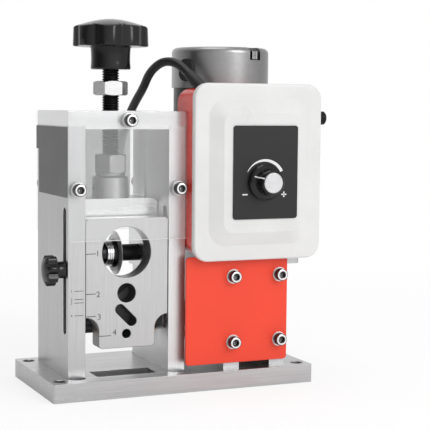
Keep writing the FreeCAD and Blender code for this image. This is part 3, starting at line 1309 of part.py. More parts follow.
def magnet_sector(sketch, inner, outer, half_angle):
    """A thick arc whose middle lies on the sketch's +X axis."""
    start = FreeCAD.Vector(math.cos(half_angle), -math.sin(half_angle), 0)
    end = FreeCAD.Vector(math.cos(half_angle), math.sin(half_angle), 0)
    arcs = [sketch.addGeometry(Part.ArcOfCircle(Part.Circle(FreeCAD.Vector(), UP, value_of(radius)),
                                                -half_angle, half_angle)) for radius in (inner, outer)]
    low = sketch.addGeometry(Part.LineSegment(start * value_of(inner), start * value_of(outer)))
    high = sketch.addGeometry(Part.LineSegment(end * value_of(inner), end * value_of(outer)))
    for side, which in ((low, 1), (high, 2)):
        for arc, side_end in zip(arcs, (1, 2)):
            sketch.addConstraint(Sketcher.Constraint("Coincident", arc, which, side, side_end))
    for arc, radius in zip(arcs, (inner, outer)):
        sketch.addConstraint(Sketcher.Constraint("Coincident", arc, 3, -1, 1))
        bind(sketch, sketch.addConstraint(Sketcher.Constraint("Radius", arc, value_of(radius))), radius)


def facing(body, angle, at=0):
    """A sketch on an upright plane whose outward side looks at an angle in degrees, at a distance from Z."""
    sketch = new_sketch(body, "XZ")
    turn = angle - 270
    sketch.AttachmentOffset = FreeCAD.Placement(FreeCAD.Vector(), FreeCAD.Rotation(AXES["Y"], turn))
    sketch.setExpression("AttachmentOffset.Base.x", text_of(at * math.sin(math.radians(turn))))
    sketch.setExpression("AttachmentOffset.Base.z", text_of(at * math.cos(math.radians(turn))))
    return sketch


def radial_feature(body, kind, sketch, length):
    """Pad or pocket a facing sketch outwards."""
    before = volume(body)
    feature = body.newObject(f"PartDesign::{kind}", f"{body.Name}_{kind.lower()}")
    feature.Profile = sketch
    feature.Reversed = kind == "Pocket"
    feature.setExpression("Length", text_of(length))
    return finish(body, feature, before, kind == "Pad")


def cut_window(body, angle, start, half_width, low, high, corner):
    """A window through one side of a round cap."""
    sketch = facing(body, angle, start)
    rectangle(sketch, -half_width, low, half_width, high, corner)
    radial_feature(body, "Pocket", sketch, dim.motor_size)


def brushes(bottom, at, reach):
    """Carbon brushes in square holders on an insulating plate, pressed by springs on the commutator."""
    plate = new_body("brush_plate", kept=False)
    ring(plate, dim.commutator_size + 4, reach * 2 - 0.2, 0, dim.brush_plate)
    plate_bottom = bottom - 2
    place(plate, z=plate_bottom, **at)
    half_height = dim.brush_height / 2
    half_width = dim.brush_width / 2
    start = dim.commutator_size / 2 + 0.05
    middle = plate_bottom + dim.brush_plate + half_height + 1.5
    sides = [(dim.gear_x, motor_y, middle, "Y"), (dim.gear_x, motor_y, middle, "-Y")]
    holder = new_body("brush_guide", kept=False)
    outer = new_sketch(holder, "XY", start + 1.5)
    rectangle(outer, -half_width - 1.5, -half_height - 1.5, half_width + 1.5, half_height + 1.5)
    pad(holder, outer, reach - start - 2.75)
    channel = new_sketch(holder, "XY", start)
    rectangle(channel, -half_width - 0.1, -half_height - 0.1, half_width + 0.1, half_height + 0.1)
    cut(holder, channel, reach - start)
    gather("brush_holder", [plate] + copies(holder, sides))
    brush = new_body("carbon_brush", kept=False)
    block = new_sketch(brush, "XY", start)
    rectangle(block, -half_width, -half_height, half_width, half_height)
    pad(brush, block, dim.brush_length)
    spring = new_body("brush_spring", kept=False)
    ring(spring, 3, 4.4, start + dim.brush_length + 0.05, reach - 2.35)
    gather("motor_brushes", copies(brush, sides) + copies(spring, sides))


def motor_fittings():
    cap_bottom = motor_bottom + dim.motor_body_height
    outer = dim.motor_size / 2
    grommet = new_body("cable_grommet")
    sketch = facing(grommet, grommet_angle, outer - 4)
    half_width = grommet_half_width - 0.1
    rectangle(sketch, -half_width, 4.6, half_width, 20.4, half_width - 0.5)
    radial_feature(grommet, "Pad", sketch, 5.6)
    place(grommet, dim.gear_x, motor_y, cap_bottom)
    clip = new_body("brush_clip")
    sketch = facing(clip, clip_angle, outer - 5.4)
    rectangle(sketch, -2.6, 20.6, 2.6, dim.motor_cap_height - 2.6)
    radial_feature(clip, "Pad", sketch, 4.6)
    groove = facing(clip, clip_angle, outer - 2)
    rectangle(groove, -1.1, 20, 1.1, dim.motor_cap_height)
    radial_feature(clip, "Pocket", groove, 3)
    place(clip, dim.gear_x, motor_y, cap_bottom)


# Mains lead: strain relief, free stretch, coil and plug.

BOOT_DIRECTION = FreeCAD.Vector(-0.256, 0.775, 0.575).normalize()
LEAD_ROUTE = [(6.5, -3.9, 223.2), (2.6, 3, 223.8), (-0.9, 9.9, 221.9), (-4.2, 19, 216),
              (-4.8, 28.4, 206.6), (-6.4, 39.2, 197.6), (-7.8, 49.2, 187.4), (-11.2, 54.2, 172.8),
              (-13.6, 56, 157.3), (-13.1, 57.5, 141.5), (-8.1, 58.3, 125.2), (-0.1, 58.8, 110.2),
              (7.4, 59.1, 94.5), (11.2, 58.2, 78), (12.6, 57, 62.5),
              (13.2, 55.8, 47), (16.4, 54.8, 30.3), (25.9, 54, 16), (40.2, 53.3, 6.5), (57, 53, 3.1)]


def tangent_arc(start, corner, end):
    """The arc that touches both sides of a corner at two points equally far from it."""
    half_turn = (start - corner).getAngle(end - corner) / 2
    reach = (start - corner).Length
    radius = reach * math.tan(half_turn)
    inward = ((start + end) / 2 - corner).normalize()
    middle = corner + inward * (radius / math.sin(half_turn) - radius)
    return Part.Arc(start, middle, end).toShape(), radius


def rounded_path(points):
    """Straight runs joined by arcs as large as the runs allow."""
    edges = []
    radii = []
    here = points[0]
    for before, corner, after in zip(points, points[1:], points[2:]):
        reach = 0.45 * min((corner - before).Length, (after - corner).Length)
        start = corner + (before - corner).normalize() * reach
        end = corner + (after - corner).normalize() * reach
        arc, radius = tangent_arc(start, corner, end)
        edges += [Part.LineSegment(here, start).toShape(), arc]
        radii.append(radius)
        here = end
    edges.append(Part.LineSegment(here, points[-1]).toShape())
    return Part.Wire(edges), radii


def tube(path, size):
    """A round solid swept along a path of lines and arcs."""
    first = path.Edges[0]
    start = first.valueAt(first.FirstParameter)
    direction = first.tangentAt(first.FirstParameter)
    section = Part.Wire([Part.Circle(start, direction, size / 2).toShape()])
    pipe = Part.BRepOffsetAPI.MakePipeShell(path)
    pipe.add(section)
    pipe.build()
    pipe.makeSolid()
    return pipe.shape()


def biarc(start, heading, end, last_heading):
    """Two arcs that join two points and keep both headings."""
    gap = end - start
    both = heading + last_heading
    share = 2 * (1 - heading.dot(last_heading))
    reach = (math.sqrt(gap.dot(both) ** 2 + share * gap.dot(gap)) - gap.dot(both)) / share
    first_corner = start + heading * reach
    second_corner = end - last_heading * reach
    middle = (first_corner + second_corner) / 2
    return [tangent_arc(start, first_corner, middle)[0], tangent_arc(middle, second_corner, end)[0]]


coil_turns = 2.875
reversal_turns = 0.5


def coil_spot(turn):
    """Centre line and heading of the coil: in over the floor, up in the reversal, out again on top."""
    pitch = value_of(dim.coil_pitch)
    outer = value_of(dim.coil_radius)
    floor = value_of(dim.lead_size) / 2
    rise = value_of(dim.coil_rise)
    inner = outer - pitch * coil_turns
    turned_back = coil_turns + reversal_turns
    if turn <= coil_turns:
        radius, height, slope, climb = outer - pitch * turn, floor, -pitch, 0
    elif turn < turned_back:
        share = (turn - coil_turns) / reversal_turns
        radius = inner - pitch * reversal_turns * (share - share ** 2)
        height = floor + rise * (3 * share ** 2 - 2 * share ** 3)
        slope = pitch * (2 * share - 1)
        climb = rise * (6 * share - 6 * share ** 2) / reversal_turns
    else:
        radius, height, slope, climb = inner + pitch * (turn - turned_back), floor + rise, pitch, 0
    angle = 2 * math.pi * turn - math.pi / 2
    outward = FreeCAD.Vector(math.cos(angle), math.sin(angle), 0)
    ahead = FreeCAD.Vector(-math.sin(angle), math.cos(angle), 0)
    spot = point(dim.coil_x, dim.lead_floor_y + dim.coil_radius, height) + outward * radius
    heading = ahead * (2 * math.pi * radius) + outward * slope + UP * climb
    return spot, heading.normalize()


def lead_coil():
    size = value_of(dim.lead_size)
    total = 2 * coil_turns + reversal_turns
    steps = round(total * 4)
    spots = [coil_spot(total * k / steps) for k in range(steps + 1)]
    first = AXES["X"]
    spots[0] = (spots[0][0], first)
    spots[-1] = (spots[-1][0], AXES["Y"])
    edges = [Part.LineSegment(spots[0][0] - first * size, spots[0][0]).toShape()]
    for (start, heading), (end, last_heading) in zip(spots, spots[1:]):
        edges += biarc(start, heading, end, last_heading)
    last_spot, last_heading = spots[-1]
    edges.append(Part.LineSegment(last_spot, last_spot + last_heading * size).toShape())
    path = Part.Wire(edges)
    feature_from("lead_coil", tube(path, size))
    samples = path.discretize(Distance=2.5)
    apart = int(size * 2 / 2.5) + 1
    gap = min((samples[i] - samples[j]).Length for i in range(len(samples))
              for j in range(i + apart, len(samples))) - size
    print(f"coil length {path.Length:.0f} mm, least gap to itself {gap:.2f} mm")
    return path.Length, last_spot + last_heading * size, last_heading


def mains_lead():
    size = value_of(dim.lead_size)
    base = point(dim.boot_x, dim.boot_y, box_top)
    boot_end = base + BOOT_DIRECTION * value_of(dim.boot_length)
    below = base - BOOT_DIRECTION * 6
    cone_length = value_of(dim.boot_length) + 6
    boot = Part.makeCone(size / 2 + 1.9, size / 2 + 0.5, cone_length, below, BOOT_DIRECTION)
    boot = boot.cut(Part.makeBox(60, 60, 30, base - FreeCAD.Vector(30, 30, 30)))
    flange = Part.makeCylinder(6, 1.6, base)
    inside = base - UP * (value_of(dim.box_wall) + 3.6)
    stem = Part.makeCylinder(3.95, base.z - inside.z, inside)
    inner_nut = Part.makeCylinder(5, 3, inside)
    relief = boot.fuse([flange, stem, inner_nut])
    for k in range(3):
        groove = Part.makeTorus(size / 2 + 2.1 - 0.26 * k, 0.7, base + BOOT_DIRECTION * (6 + 3.4 * k),
                                BOOT_DIRECTION)
        relief = relief.cut(groove)
    feature_from("strain_relief", relief)
    coil_length, plug_start, plug_heading = lead_coil()
    coil_start = point(dim.coil_x - dim.lead_size, dim.lead_floor_y, dim.lead_size / 2)
    points = [boot_end, boot_end + BOOT_DIRECTION * 8]
    points += [FreeCAD.Vector(*spot) for spot in LEAD_ROUTE] + [coil_start]
    path, radii = rounded_path(points)
    lead = tube(path, size)
    feature_from("mains_lead", lead)
    expected = math.pi * size ** 2 / 4 * path.Length
    print("lead radii", [round(radius) for radius in radii])
    print(f"lead length {path.Length:.0f} mm, volume {lead.Volume:.0f} for {expected:.0f} mm3")
    print(f"whole lead {path.Length + coil_length:.0f} mm from strain relief to plug")
    mains_plug(plug_start, plug_heading)


def mains_plug(start, heading):
    """A moulded three-pin plug lying on the floor, its tapered collar on the lead's end."""
    size = value_of(dim.lead_size)
    width = value_of(dim.plug_width)
    length = value_of(dim.plug_length)
    height = start.z * 2
    side = FreeCAD.Vector(heading.y, -heading.x, 0)
    collar_length = 14
    collar = Part.makeCone(size / 2 + 0.6, size / 2 + 2.4, collar_length, start, heading)
    face = start + heading * collar_length

    corners = ((1, -0.5), (0.7, -1), (-0.7, -1), (-1, -0.5), (-1, 0.5), (-0.7, 1), (0.7, 1), (1, 0.5))

    def outline_at(distance, half_width, half_height):
        middle = face + heading * distance
        spots = [middle + side * (half_width * i) + UP * (half_height * j) for i, j in corners]
        return Part.makePolygon(spots + spots[:1])

    half = height / 2
    stations = [outline_at(-1, 5, 5), outline_at(length * 0.45, width * 0.42, half),
                outline_at(length, width / 2, half)]
    body = Part.makeLoft(stations[:2], True, True).fuse(Part.makeLoft(stations[1:], True, True))
    pieces = [collar.fuse(body)]
    end = face + heading * length
    turn = FreeCAD.Rotation(FreeCAD.Vector(0, 1, 0), heading)
    for i in (-1, 1):
        blade = Part.makeBox(1.6, 17, 6.3, FreeCAD.Vector(-0.8 + 6.35 * i, 0, -4.6))
        blade.Placement = FreeCAD.Placement(end, turn)
        pieces.append(blade)
    pieces.append(Part.makeCylinder(2.4, 19, end + UP * 5.6, heading))
    feature_from("mains_plug", Part.makeCompound(pieces))


def check_and_export():
    doc.recompute()
    for item in doc.Objects:
        if "Invalid" in item.State or "Error" in item.State:
            raise RuntimeError(f"{item.Label} is {item.State}")
    os.makedirs("parts", exist_ok=True)
    for piece in subparts:
        shape = piece.Shape
        if shape.isNull() or not shape.isValid() or not shape.Solids:
            raise RuntimeError(f"{piece.Label} has no valid solid")
    for piece in subparts:
        piece.Shape.exportStep(f"parts/{piece.Label}.step")
    print(len(subparts), "sub-parts,", sum(len(piece.Shape.Solids) for piece in subparts), "solids")


base_plate()
upright("left_upright", left_outer, left_middle, left_inner - dim.track_depth, blind_bearing)
upright("right_upright", right_inner, right_middle, right_inner, open_bearing)
top_bar()
guard("front_guard", frame_front - dim.guard_thickness)
guard("rear_guard", frame_rear)
fasteners()
screw_group()
slide_block()
blade_group()
guide_group()
drive_group()
gear_plates()
motor_plate()
footstep()
cover_plate()
control_group()
motor_group()
motor_fittings()
mains_lead()
check_and_export()
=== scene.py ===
import math
from itertools import product
import bmesh
import bpy
from mathutils import Matrix, Vector
from mathutils.geometry import tessellate_polygon


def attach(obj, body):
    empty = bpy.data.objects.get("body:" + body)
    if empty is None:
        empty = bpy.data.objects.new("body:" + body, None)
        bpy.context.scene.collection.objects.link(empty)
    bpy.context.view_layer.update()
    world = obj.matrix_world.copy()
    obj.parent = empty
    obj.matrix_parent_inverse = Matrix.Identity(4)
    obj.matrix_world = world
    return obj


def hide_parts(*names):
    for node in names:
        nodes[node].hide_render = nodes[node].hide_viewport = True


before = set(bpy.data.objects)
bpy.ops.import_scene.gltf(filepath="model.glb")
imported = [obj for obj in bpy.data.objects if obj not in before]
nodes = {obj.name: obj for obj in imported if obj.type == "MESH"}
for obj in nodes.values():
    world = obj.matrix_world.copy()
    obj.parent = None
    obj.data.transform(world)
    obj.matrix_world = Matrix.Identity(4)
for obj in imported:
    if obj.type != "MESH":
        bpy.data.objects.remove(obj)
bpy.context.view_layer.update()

# Lengths are written in millimetres in the part's own frame and turned into metres by mm().


def mm(x, y, z):
    """A spot in millimetres as a vector in metres."""
    return Vector((x, y, z)) / 1000


def linked(name, data):
    """A new object of the scene from a camera, a lamp, a mesh or a curve."""
    made = bpy.data.objects.new(name, data)
    bpy.context.scene.collection.objects.link(made)
    return made


# Places that several pieces or materials share.

MOTOR_X, MOTOR_Y = 53.3, 24
BLADE_Y, BLADE_Z = -2, 92
DIAL_X, DIAL_Z = 52, 143
PANEL_FRONT = -55.2
UPRIGHT_LEFT, UPRIGHT_FRONT = -80.7, -33
GUARD_FRONT, GUARD_BOTTOM, GUARD_THICK = -36, 104, 3
REAR_GUARD_FRONT = 37


# Camera at the photograph's viewing angle.

FOCAL_PIXELS = 1301.56
PICTURE_PIXELS = 430
CAMERA_SPOT = (-339.01, -850.60, 195.17)
YAW, PITCH, ROLL = (math.radians(angle) for angle in (24.002, 4.851, 0.516))


def add_camera():
    """Set the scene's camera from its spot, its angles and its focal length in picture pixels."""
    data = bpy.data.cameras.new("camera")
    data.sensor_width = 36
    data.lens = data.sensor_width * FOCAL_PIXELS / PICTURE_PIXELS
    data.clip_start = 0.01
    ahead = Vector((math.sin(YAW) * math.cos(PITCH), math.cos(YAW) * math.cos(PITCH), -math.sin(PITCH)))
    right = Vector((math.cos(YAW), -math.sin(YAW), 0))
    up = right.cross(ahead)
    turned_right = right * math.cos(ROLL) + up * math.sin(ROLL)
    turned_up = up * math.cos(ROLL) - right * math.sin(ROLL)
    camera = linked("camera", data)
    turn = Matrix((turned_right, turned_up, -ahead)).transposed()
    camera.matrix_world = Matrix.Translation(mm(*CAMERA_SPOT)) @ turn.to_4x4()
    bpy.context.scene.camera = camera


add_camera()


# Materials: each is one Principled shader, varied by noise or rings in the object's own space.

class Nodes:
    """Short names for the nodes of a tree."""

    def __init__(self, tree):
        self.tree = tree

    def node(self, kind, inputs=None, **settings):
        """Add a node with its settings, each input set to a value or linked to a socket."""
        made = self.tree.nodes.new(kind)
        for key, value in settings.items():
            setattr(made, key, value)
        for key, value in (inputs or {}).items():
            self.put(value, made.inputs[key])
        return made

    def put(self, value, socket):
        """Link a socket to another one, or set it to a plain value."""
        if isinstance(value, bpy.types.NodeSocket):
            self.tree.links.new(value, socket)
        else:
            socket.default_value = value

    def math(self, operation, first, second=0.0):
        """One step of arithmetic on two values or sockets."""
        made = self.node("ShaderNodeMath", operation=operation)
        self.put(first, made.inputs[0])
        self.put(second, made.inputs[1])
        return made.outputs[0]


class Shader(Nodes):
    """The nodes of one material."""

    def __init__(self, name):
        self.material = bpy.data.materials.new(name)
        self.material.use_nodes = True
        super().__init__(self.material.node_tree)
        self.shader = self.tree.nodes["Principled BSDF"]
        self.place = self.tree.nodes.new("ShaderNodeTexCoord").outputs["Object"]

    def noise(self, scale, stretch=(1, 1, 1), detail=3, roughness=0.5):
        """Noise in the object's own space; a small stretch draws it out along that axis."""
        scaled = self.node("ShaderNodeMapping", {"Vector": self.place, "Scale": stretch})
        made = self.node("ShaderNodeTexNoise", {"Vector": scaled.outputs[0], "Scale": scale,
                                                "Detail": detail, "Roughness": roughness})
        return made.outputs["Fac"]

    def spread(self, value, low, high, start=0.3, end=0.7):
        """Map a value's range onto another range."""
        made = self.node("ShaderNodeMapRange", {"Value": value, "From Min": start, "From Max": end,
                                                "To Min": low, "To Max": high})
        return made.outputs["Result"]

    def blend(self, share, first, second):
        """Mix two colours."""
        made = self.node("ShaderNodeMix", data_type="RGBA")
        self.put(share, made.inputs[0])
        self.put(first, made.inputs[6])
        self.put(second, made.inputs[7])
        return made.outputs[2]

    def axis(self, which):
        """The object's own X, Y or Z."""
        parts = self.node("ShaderNodeSeparateXYZ", {"Vector": self.place})
        return parts.outputs["XYZ".index(which)]

    def away_from(self, axes, centre):
        """The distance from a point in millimetres, seen along the axis that isn't named."""
        squares = []
        for axis, middle in zip(axes, centre):
            offset = self.math("SUBTRACT", self.axis(axis), middle / 1000)
            squares.append(self.math("MULTIPLY", offset, offset))
        return self.math("SQRT", self.math("ADD", *squares))

    def bump(self, height, strength, distance, edge=None):
        """Raise the surface by a height, and round its edges over a radius where one is given."""
        inputs = {"Height": height, "Strength": strength, "Distance": distance}
        if edge:
            round_edge = self.node("ShaderNodeBevel", {"Radius": edge}, samples=4)
            inputs["Normal"] = round_edge.outputs[0]
        made = self.node("ShaderNodeBump", inputs)
        self.put(made.outputs[0], self.shader.inputs["Normal"])

    def set(self, **values):
        """Set or link inputs of the shader by their names, with _ for a space."""
        for key, value in values.items():
            self.put(value, self.shader.inputs[key.replace("_", " ")])


def colour(red, green, blue):
    """A colour as a shader's input takes it, with full cover."""
    return (red, green, blue, 1)


def shaded(tone, factor):
    """A colour from a tone, darker or lighter by a factor but never past white."""
    return colour(*(min(1, part * factor) for part in tone))


def brushed(name, tone, along, roughness=0.34, contrast=0.12):
    """Brushed metal with fine streaks along one axis."""
    made = Shader(name)
    stretch = [1.0, 1.0, 1.0]
    stretch["XYZ".index(along)] = 0.012
    streaks = made.noise(2600, stretch, detail=4, roughness=0.65)
    broad = made.noise(160, [value ** 0.5 for value in stretch], detail=2)
    shade = made.blend(made.spread(streaks, 0, 1), shaded(tone, 1 - contrast), shaded(tone, 1 + contrast))
    made.set(Base_Color=shade, Metallic=1.0,
             Roughness=made.spread(broad, roughness - 0.04, roughness + 0.05))
    made.bump(streaks, strength=0.12, distance=0.00003, edge=0.00035)
    return made.material


def steel(name, tone, roughness, metallic=1.0):
    """Turned or plated steel with faint mottling."""
    made = Shader(name)
    mottle = made.noise(350)
    shade = made.blend(made.spread(mottle, 0, 1), shaded(tone, 0.93), colour(*tone))
    made.set(Base_Color=shade, Metallic=metallic,
             Roughness=made.spread(mottle, roughness, roughness + 0.05))
    made.bump(mottle, strength=0.03, distance=0.00002, edge=0.0003)
    return made.material


def plastic(name, tone, roughness, grain=2500, strength=0.1, edge=0.0004, shine=0.5):
    """Moulded plastic or rubber with a fine surface grain."""
    made = Shader(name)
    fine = made.noise(grain, detail=2)
    broad = made.noise(40)
    shade = made.blend(made.spread(broad, 0, 1), shaded(tone, 0.93), colour(*tone))
    made.set(Base_Color=shade, Specular_IOR_Level=shine,
             Roughness=made.spread(broad, roughness - 0.03, roughness + 0.05))
    made.bump(fine, strength, distance=0.00004, edge=edge)
    return made.material


def enamel(name, tone, roughness=0.32, shine=0.35):
    """Powder coat with a fine orange-peel surface."""
    made = Shader(name)
    peel = made.noise(900, detail=2)
    broad = made.noise(30, detail=2)
    shade = made.blend(made.spread(broad, 0, 1), shaded(tone, 0.95), colour(*tone))
    made.set(Base_Color=shade, Specular_IOR_Level=shine,
             Roughness=made.spread(peel, roughness, roughness + 0.08))
    made.bump(peel, strength=0.1, distance=0.00005, edge=0.0005)
    return made.material


def acrylic():
    """Clear sheet with a little haze."""
    made = Shader("clear_acrylic")
    haze = made.noise(25, detail=2)
    made.set(Base_Color=colour(0.95, 0.965, 0.97), Roughness=made.spread(haze, 0.05, 0.12),
             Alpha=made.spread(haze, 0.105, 0.12), IOR=1.49)
    return made.material


def wrap():
    """The motor's black wrap with the bare strip of silver where its ends meet."""
    strip_angle, strip_half = math.radians(151), math.radians(9)
    black, silver = colour(0.012, 0.012, 0.013), colour(0.7, 0.7, 0.71)
    made = Shader("motor_wrap")
    away_x = made.math("SUBTRACT", made.axis("X"), MOTOR_X / 1000)
    away_y = made.math("SUBTRACT", made.axis("Y"), MOTOR_Y / 1000)
    angle = made.math("ARCTAN2", away_y, away_x)
    off = made.math("ABSOLUTE", made.math("SUBTRACT", angle, strip_angle))
    bare = made.math("LESS_THAN", off, strip_half)
    fine = made.noise(1500, (1, 1, 0.2), detail=2)
    made.set(Base_Color=made.blend(bare, black, silver), Metallic=bare,
             Roughness=made.spread(fine, 0.3, 0.42))
    made.bump(fine, strength=0.05, distance=0.00003)
    return made.material


def spun_insert():
    """The bright face of the dial's insert, with fine turned rings."""
    tone = (0.7, 0.7, 0.71)
    ring_rate = 18000.0
    made = Shader("spun_insert")
    radius = made.away_from("XZ", (DIAL_X, DIAL_Z))
    rings = made.math("SINE", made.math("MULTIPLY", radius, ring_rate))
    shade = made.blend(made.spread(rings, 0, 1, start=-1, end=1), shaded(tone, 0.85), colour(*tone))
    made.set(Base_Color=shade, Metallic=1.0, Roughness=0.28)
    made.bump(rings, strength=0.15, distance=0.00003, edge=0.0003)
    return made.material


def blade_steel():
    """Ground blade: ringed grey faces and a brighter bevel at the rim."""
    ring_rate = 12000.0
    bevel_start = 0.0126
    made = Shader("blade_steel")
    radius = made.away_from("YZ", (BLADE_Y, BLADE_Z))
    rings = made.math("SINE", made.math("MULTIPLY", radius, ring_rate))
    bevel = made.math("GREATER_THAN", radius, bevel_start)
    face = made.blend(made.spread(rings, 0, 1, start=-1, end=1),
                      colour(0.17, 0.17, 0.173), colour(0.21, 0.21, 0.213))
    made.set(Base_Color=made.blend(bevel, face, colour(0.5, 0.5, 0.5)), Metallic=1.0, Roughness=0.3)
    made.bump(rings, strength=0.05, distance=0.00002)
    return made.material


def board():
    """Green circuit board with mottled lacquer."""
    made = Shader("circuit_board")
    fine = made.noise(300)
    shade = made.blend(made.spread(fine, 0, 1), colour(0.01, 0.09, 0.03), colour(0.03, 0.2, 0.07))
    made.set(Base_Color=shade, Roughness=0.4)
    made.bump(fine, strength=0.2, distance=0.0001)
    return made.material


ALUMINIUM = (0.52, 0.52, 0.525)
plate_z = brushed("plate_brushed_up", ALUMINIUM, "Z")
plate_x = brushed("plate_brushed_across", ALUMINIUM, "X")
plate_y = brushed("plate_brushed_back", ALUMINIUM, "Y")
base_x = brushed("base_brushed_across", ALUMINIUM, "X", roughness=0.3)
guide_brushed = brushed("guide_plate_brushed", ALUMINIUM, "Z", roughness=0.36)
# Painted light: the top bar, the slide block and the right upright are lighter copies of the brushed
# aluminium, standing in for the extra light on them.
bar_lit = brushed("bar_brushed_painted_light", (0.74, 0.74, 0.745), "X", roughness=0.22, contrast=0.06)
block_lit = brushed("block_brushed_painted_light", (0.74, 0.74, 0.745), "X", roughness=0.3, contrast=0.05)
right_upright_lit = brushed("right_upright_painted_light", (0.7, 0.7, 0.705), "Z", roughness=0.38, contrast=0.08)
silver_steel = steel("machined_steel", (0.62, 0.62, 0.63), 0.2)
chrome = steel("bright_plate", (0.85, 0.85, 0.85), 0.22)
boss_steel = steel("turned_boss", (0.42, 0.42, 0.425), 0.42)
washer_steel = steel("washer_steel", (0.85, 0.85, 0.855), 0.45)
bright_steel = steel("bright_turned", (0.75, 0.75, 0.755), 0.16)
dark_steel = steel("dark_oiled_steel", (0.03, 0.03, 0.032), 0.28)
screw_painted_shade = steel("screw_painted_shade", (0.09, 0.09, 0.092), 0.35)
opening_painted_shade = steel("opening_wall_painted_shade", (0.24, 0.24, 0.243), 0.4)
roller_steel = steel("hardened_roller", (0.12, 0.12, 0.123), 0.3)
bronze = steel("bearing_bronze", (0.6, 0.4, 0.18), 0.3)
copper = steel("commutator_copper", (0.75, 0.38, 0.22), 0.28)
iron = steel("laminated_iron", (0.25, 0.2, 0.17), 0.4)
ferrite = steel("ferrite", (0.07, 0.07, 0.072), 0.6, metallic=0.2)
carbon = steel("carbon", (0.03, 0.03, 0.03), 0.5, metallic=0.1)
cap_grey = steel("motor_cap_grey", (0.36, 0.36, 0.363), 0.3, metallic=0.95)
black_gloss = plastic("black_knob", (0.006, 0.006, 0.0065), 0.12, strength=0.02, shine=0.4)
black_satin = plastic("black_satin", (0.012, 0.012, 0.0125), 0.34, shine=0.3)
fuse_black = plastic("fuse_black", (0.008, 0.008, 0.0085), 0.4, shine=0.15)
panel_black = plastic("panel_black", (0.014, 0.014, 0.0145), 0.4, strength=0.05, shine=0.35)
rubber_and_painted_shade = plastic("black_rubber", (0.016, 0.016, 0.016), 0.55, strength=0.25)
backing_grey_painted_shade = plastic("backing_grey_painted_shade", (0.11, 0.11, 0.11), 0.5, strength=0.2)
cable = plastic("cable_vinyl", (0.014, 0.014, 0.014), 0.42, grain=1200, strength=0.15, edge=None)
spider_red = plastic("red_polyurethane", (0.45, 0.04, 0.02), 0.45)
white_lid = plastic("white_lid", (0.725, 0.725, 0.72), 0.3, grain=1500, strength=0.03, edge=0.0006)
red = enamel("red_enamel", (0.86, 0.062, 0.028))
box_red = enamel("box_red_gloss", (0.72, 0.04, 0.025), roughness=0.2, shine=0.5)
acrylic_sheet = acrylic()
motor_black = wrap()
insert_face = spun_insert()
print_white = plastic("printed_white", (0.85, 0.85, 0.85), 0.5, edge=None)
print_dark = plastic("engraved_dark", (0.06, 0.06, 0.06), 0.5, edge=None)

FINISHES = {
    guide_brushed: ("guide_plate",),
    plate_z: ("left_upright", "gear_plates"),
    right_upright_lit: ("right_upright",),
    block_lit: ("slide_block",),
    plate_x: ("motor_plate", "footstep_block"),
    base_x: ("base_plate",),
    bar_lit: ("top_bar",),
    plate_y: ("coupling_hubs",),
    silver_steel: ("blade_axle", "guide_pin", "gear_shaft", "worm_shaft", "potentiometer",
                   "motor_bearings", "brush_clip", "side_stud"),
    blade_steel(): ("cutting_blade",),
    washer_steel: ("panel_washers",),
    chrome: ("panel_screws", "top_screws", "flat_screws", "box_screws", "lock_nut"),
    boss_steel: ("swivel_boss",),
    roller_steel: ("feed_roller", "roller_shaft"),
    dark_steel: ("adjusting_screw", "blade_collar", "blade_nut", "blade_washer"),
    bronze: ("shaft_bushes", "worm_wheel"),
    copper: ("commutator",),
    iron: ("armature",),
    ferrite: ("motor_magnets",),
    carbon: ("motor_brushes",),
    cap_grey: ("motor_cap",),
    black_gloss: ("star_knob", "side_knob", "speed_knob"),
    black_satin: ("blade_hub", "brush_holder"),
    fuse_black: ("fuse_holder",),
    panel_black: ("control_panel",),
    rubber_and_painted_shade: ("cable_grommet", "strain_relief", "mains_plug"),
    cable: ("mains_lead", "lead_coil"),
    spider_red: ("coupling_spider",),
    white_lid: ("box_lid",),
    red: ("red_cover_plate",),
    box_red: ("control_box",),
    acrylic_sheet: ("front_guard", "rear_guard"),
    motor_black: ("motor_housing",),
    insert_face: ("knob_insert",),
    board(): ("speed_controller",),
}
for finish, names in FINISHES.items():
    for name in names:
        slots = nodes[name].material_slots
        if not slots:
            nodes[name].data.materials.append(finish)
        for each in slots:
            each.material = finish


# Mesh helpers.

TURNED_SEGMENTS = 72


def mesh_from(name, points, faces):
    """A new mesh from its points and faces."""
    mesh = bpy.data.meshes.new(name)
    mesh.from_pydata(points, [], faces)
    return mesh


def face_outwards(mesh):
    """Turn every face of a closed mesh to the outside."""
    work = bmesh.new()
    work.from_mesh(mesh)
    bmesh.ops.recalc_face_normals(work, faces=work.faces)
    work.to_mesh(mesh)
    work.free()


def add_mesh(name, mesh, material, body, angle=35, square=False):
    """Link a mesh as a piece on a body, smooth except where faces meet sharply.

    On a square-cut block the faces along the three axes are flat, so its roundings don't tint them.
    """
    made = linked(name, mesh)
    mesh.materials.append(material)
    work = bmesh.new()
    work.from_mesh(mesh)
    for face in work.faces:
        face.smooth = not (square and max(abs(part) for part in face.normal) > 0.99995)
    for edge in work.edges:
        edge.smooth = len(edge.link_faces) == 2 and edge.calc_face_angle(0) < math.radians(angle)
    work.to_mesh(mesh)
    work.free()
    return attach(made, body)


def turned_mesh(name, rows, segments, radius_at=None):
    """A closed skin round Z from (radius, height) rows.

    radius_at may change a row's radius by the angle, the radius and the height.
    """
    points, faces = [], []
    for radius, height in rows:
        for k in range(segments):
            angle = 2 * math.pi * k / segments
            here = radius_at(angle, radius, height) if radius_at else radius
            points.append((here * math.cos(angle), here * math.sin(angle), height))
    for row in range(len(rows) - 1):
        for k in range(segments):
            following = (k + 1) % segments
            low, high = row * segments, (row + 1) * segments
            faces.append((low + k, low + following, high + following, high + k))
    faces.append(tuple(reversed(range(segments))))
    faces.append(tuple((len(rows) - 1) * segments + k for k in range(segments)))
    return mesh_from(name, points, faces)


def shift(mesh, x, y, z, turn=None):
    """Scale a mesh from millimetres, turn it and move it to its place."""
    matrix = Matrix.Translation(mm(x, y, z)) @ (turn.to_4x4() if turn else Matrix.Identity(4))
    mesh.transform(matrix @ Matrix.Scale(0.001, 4))


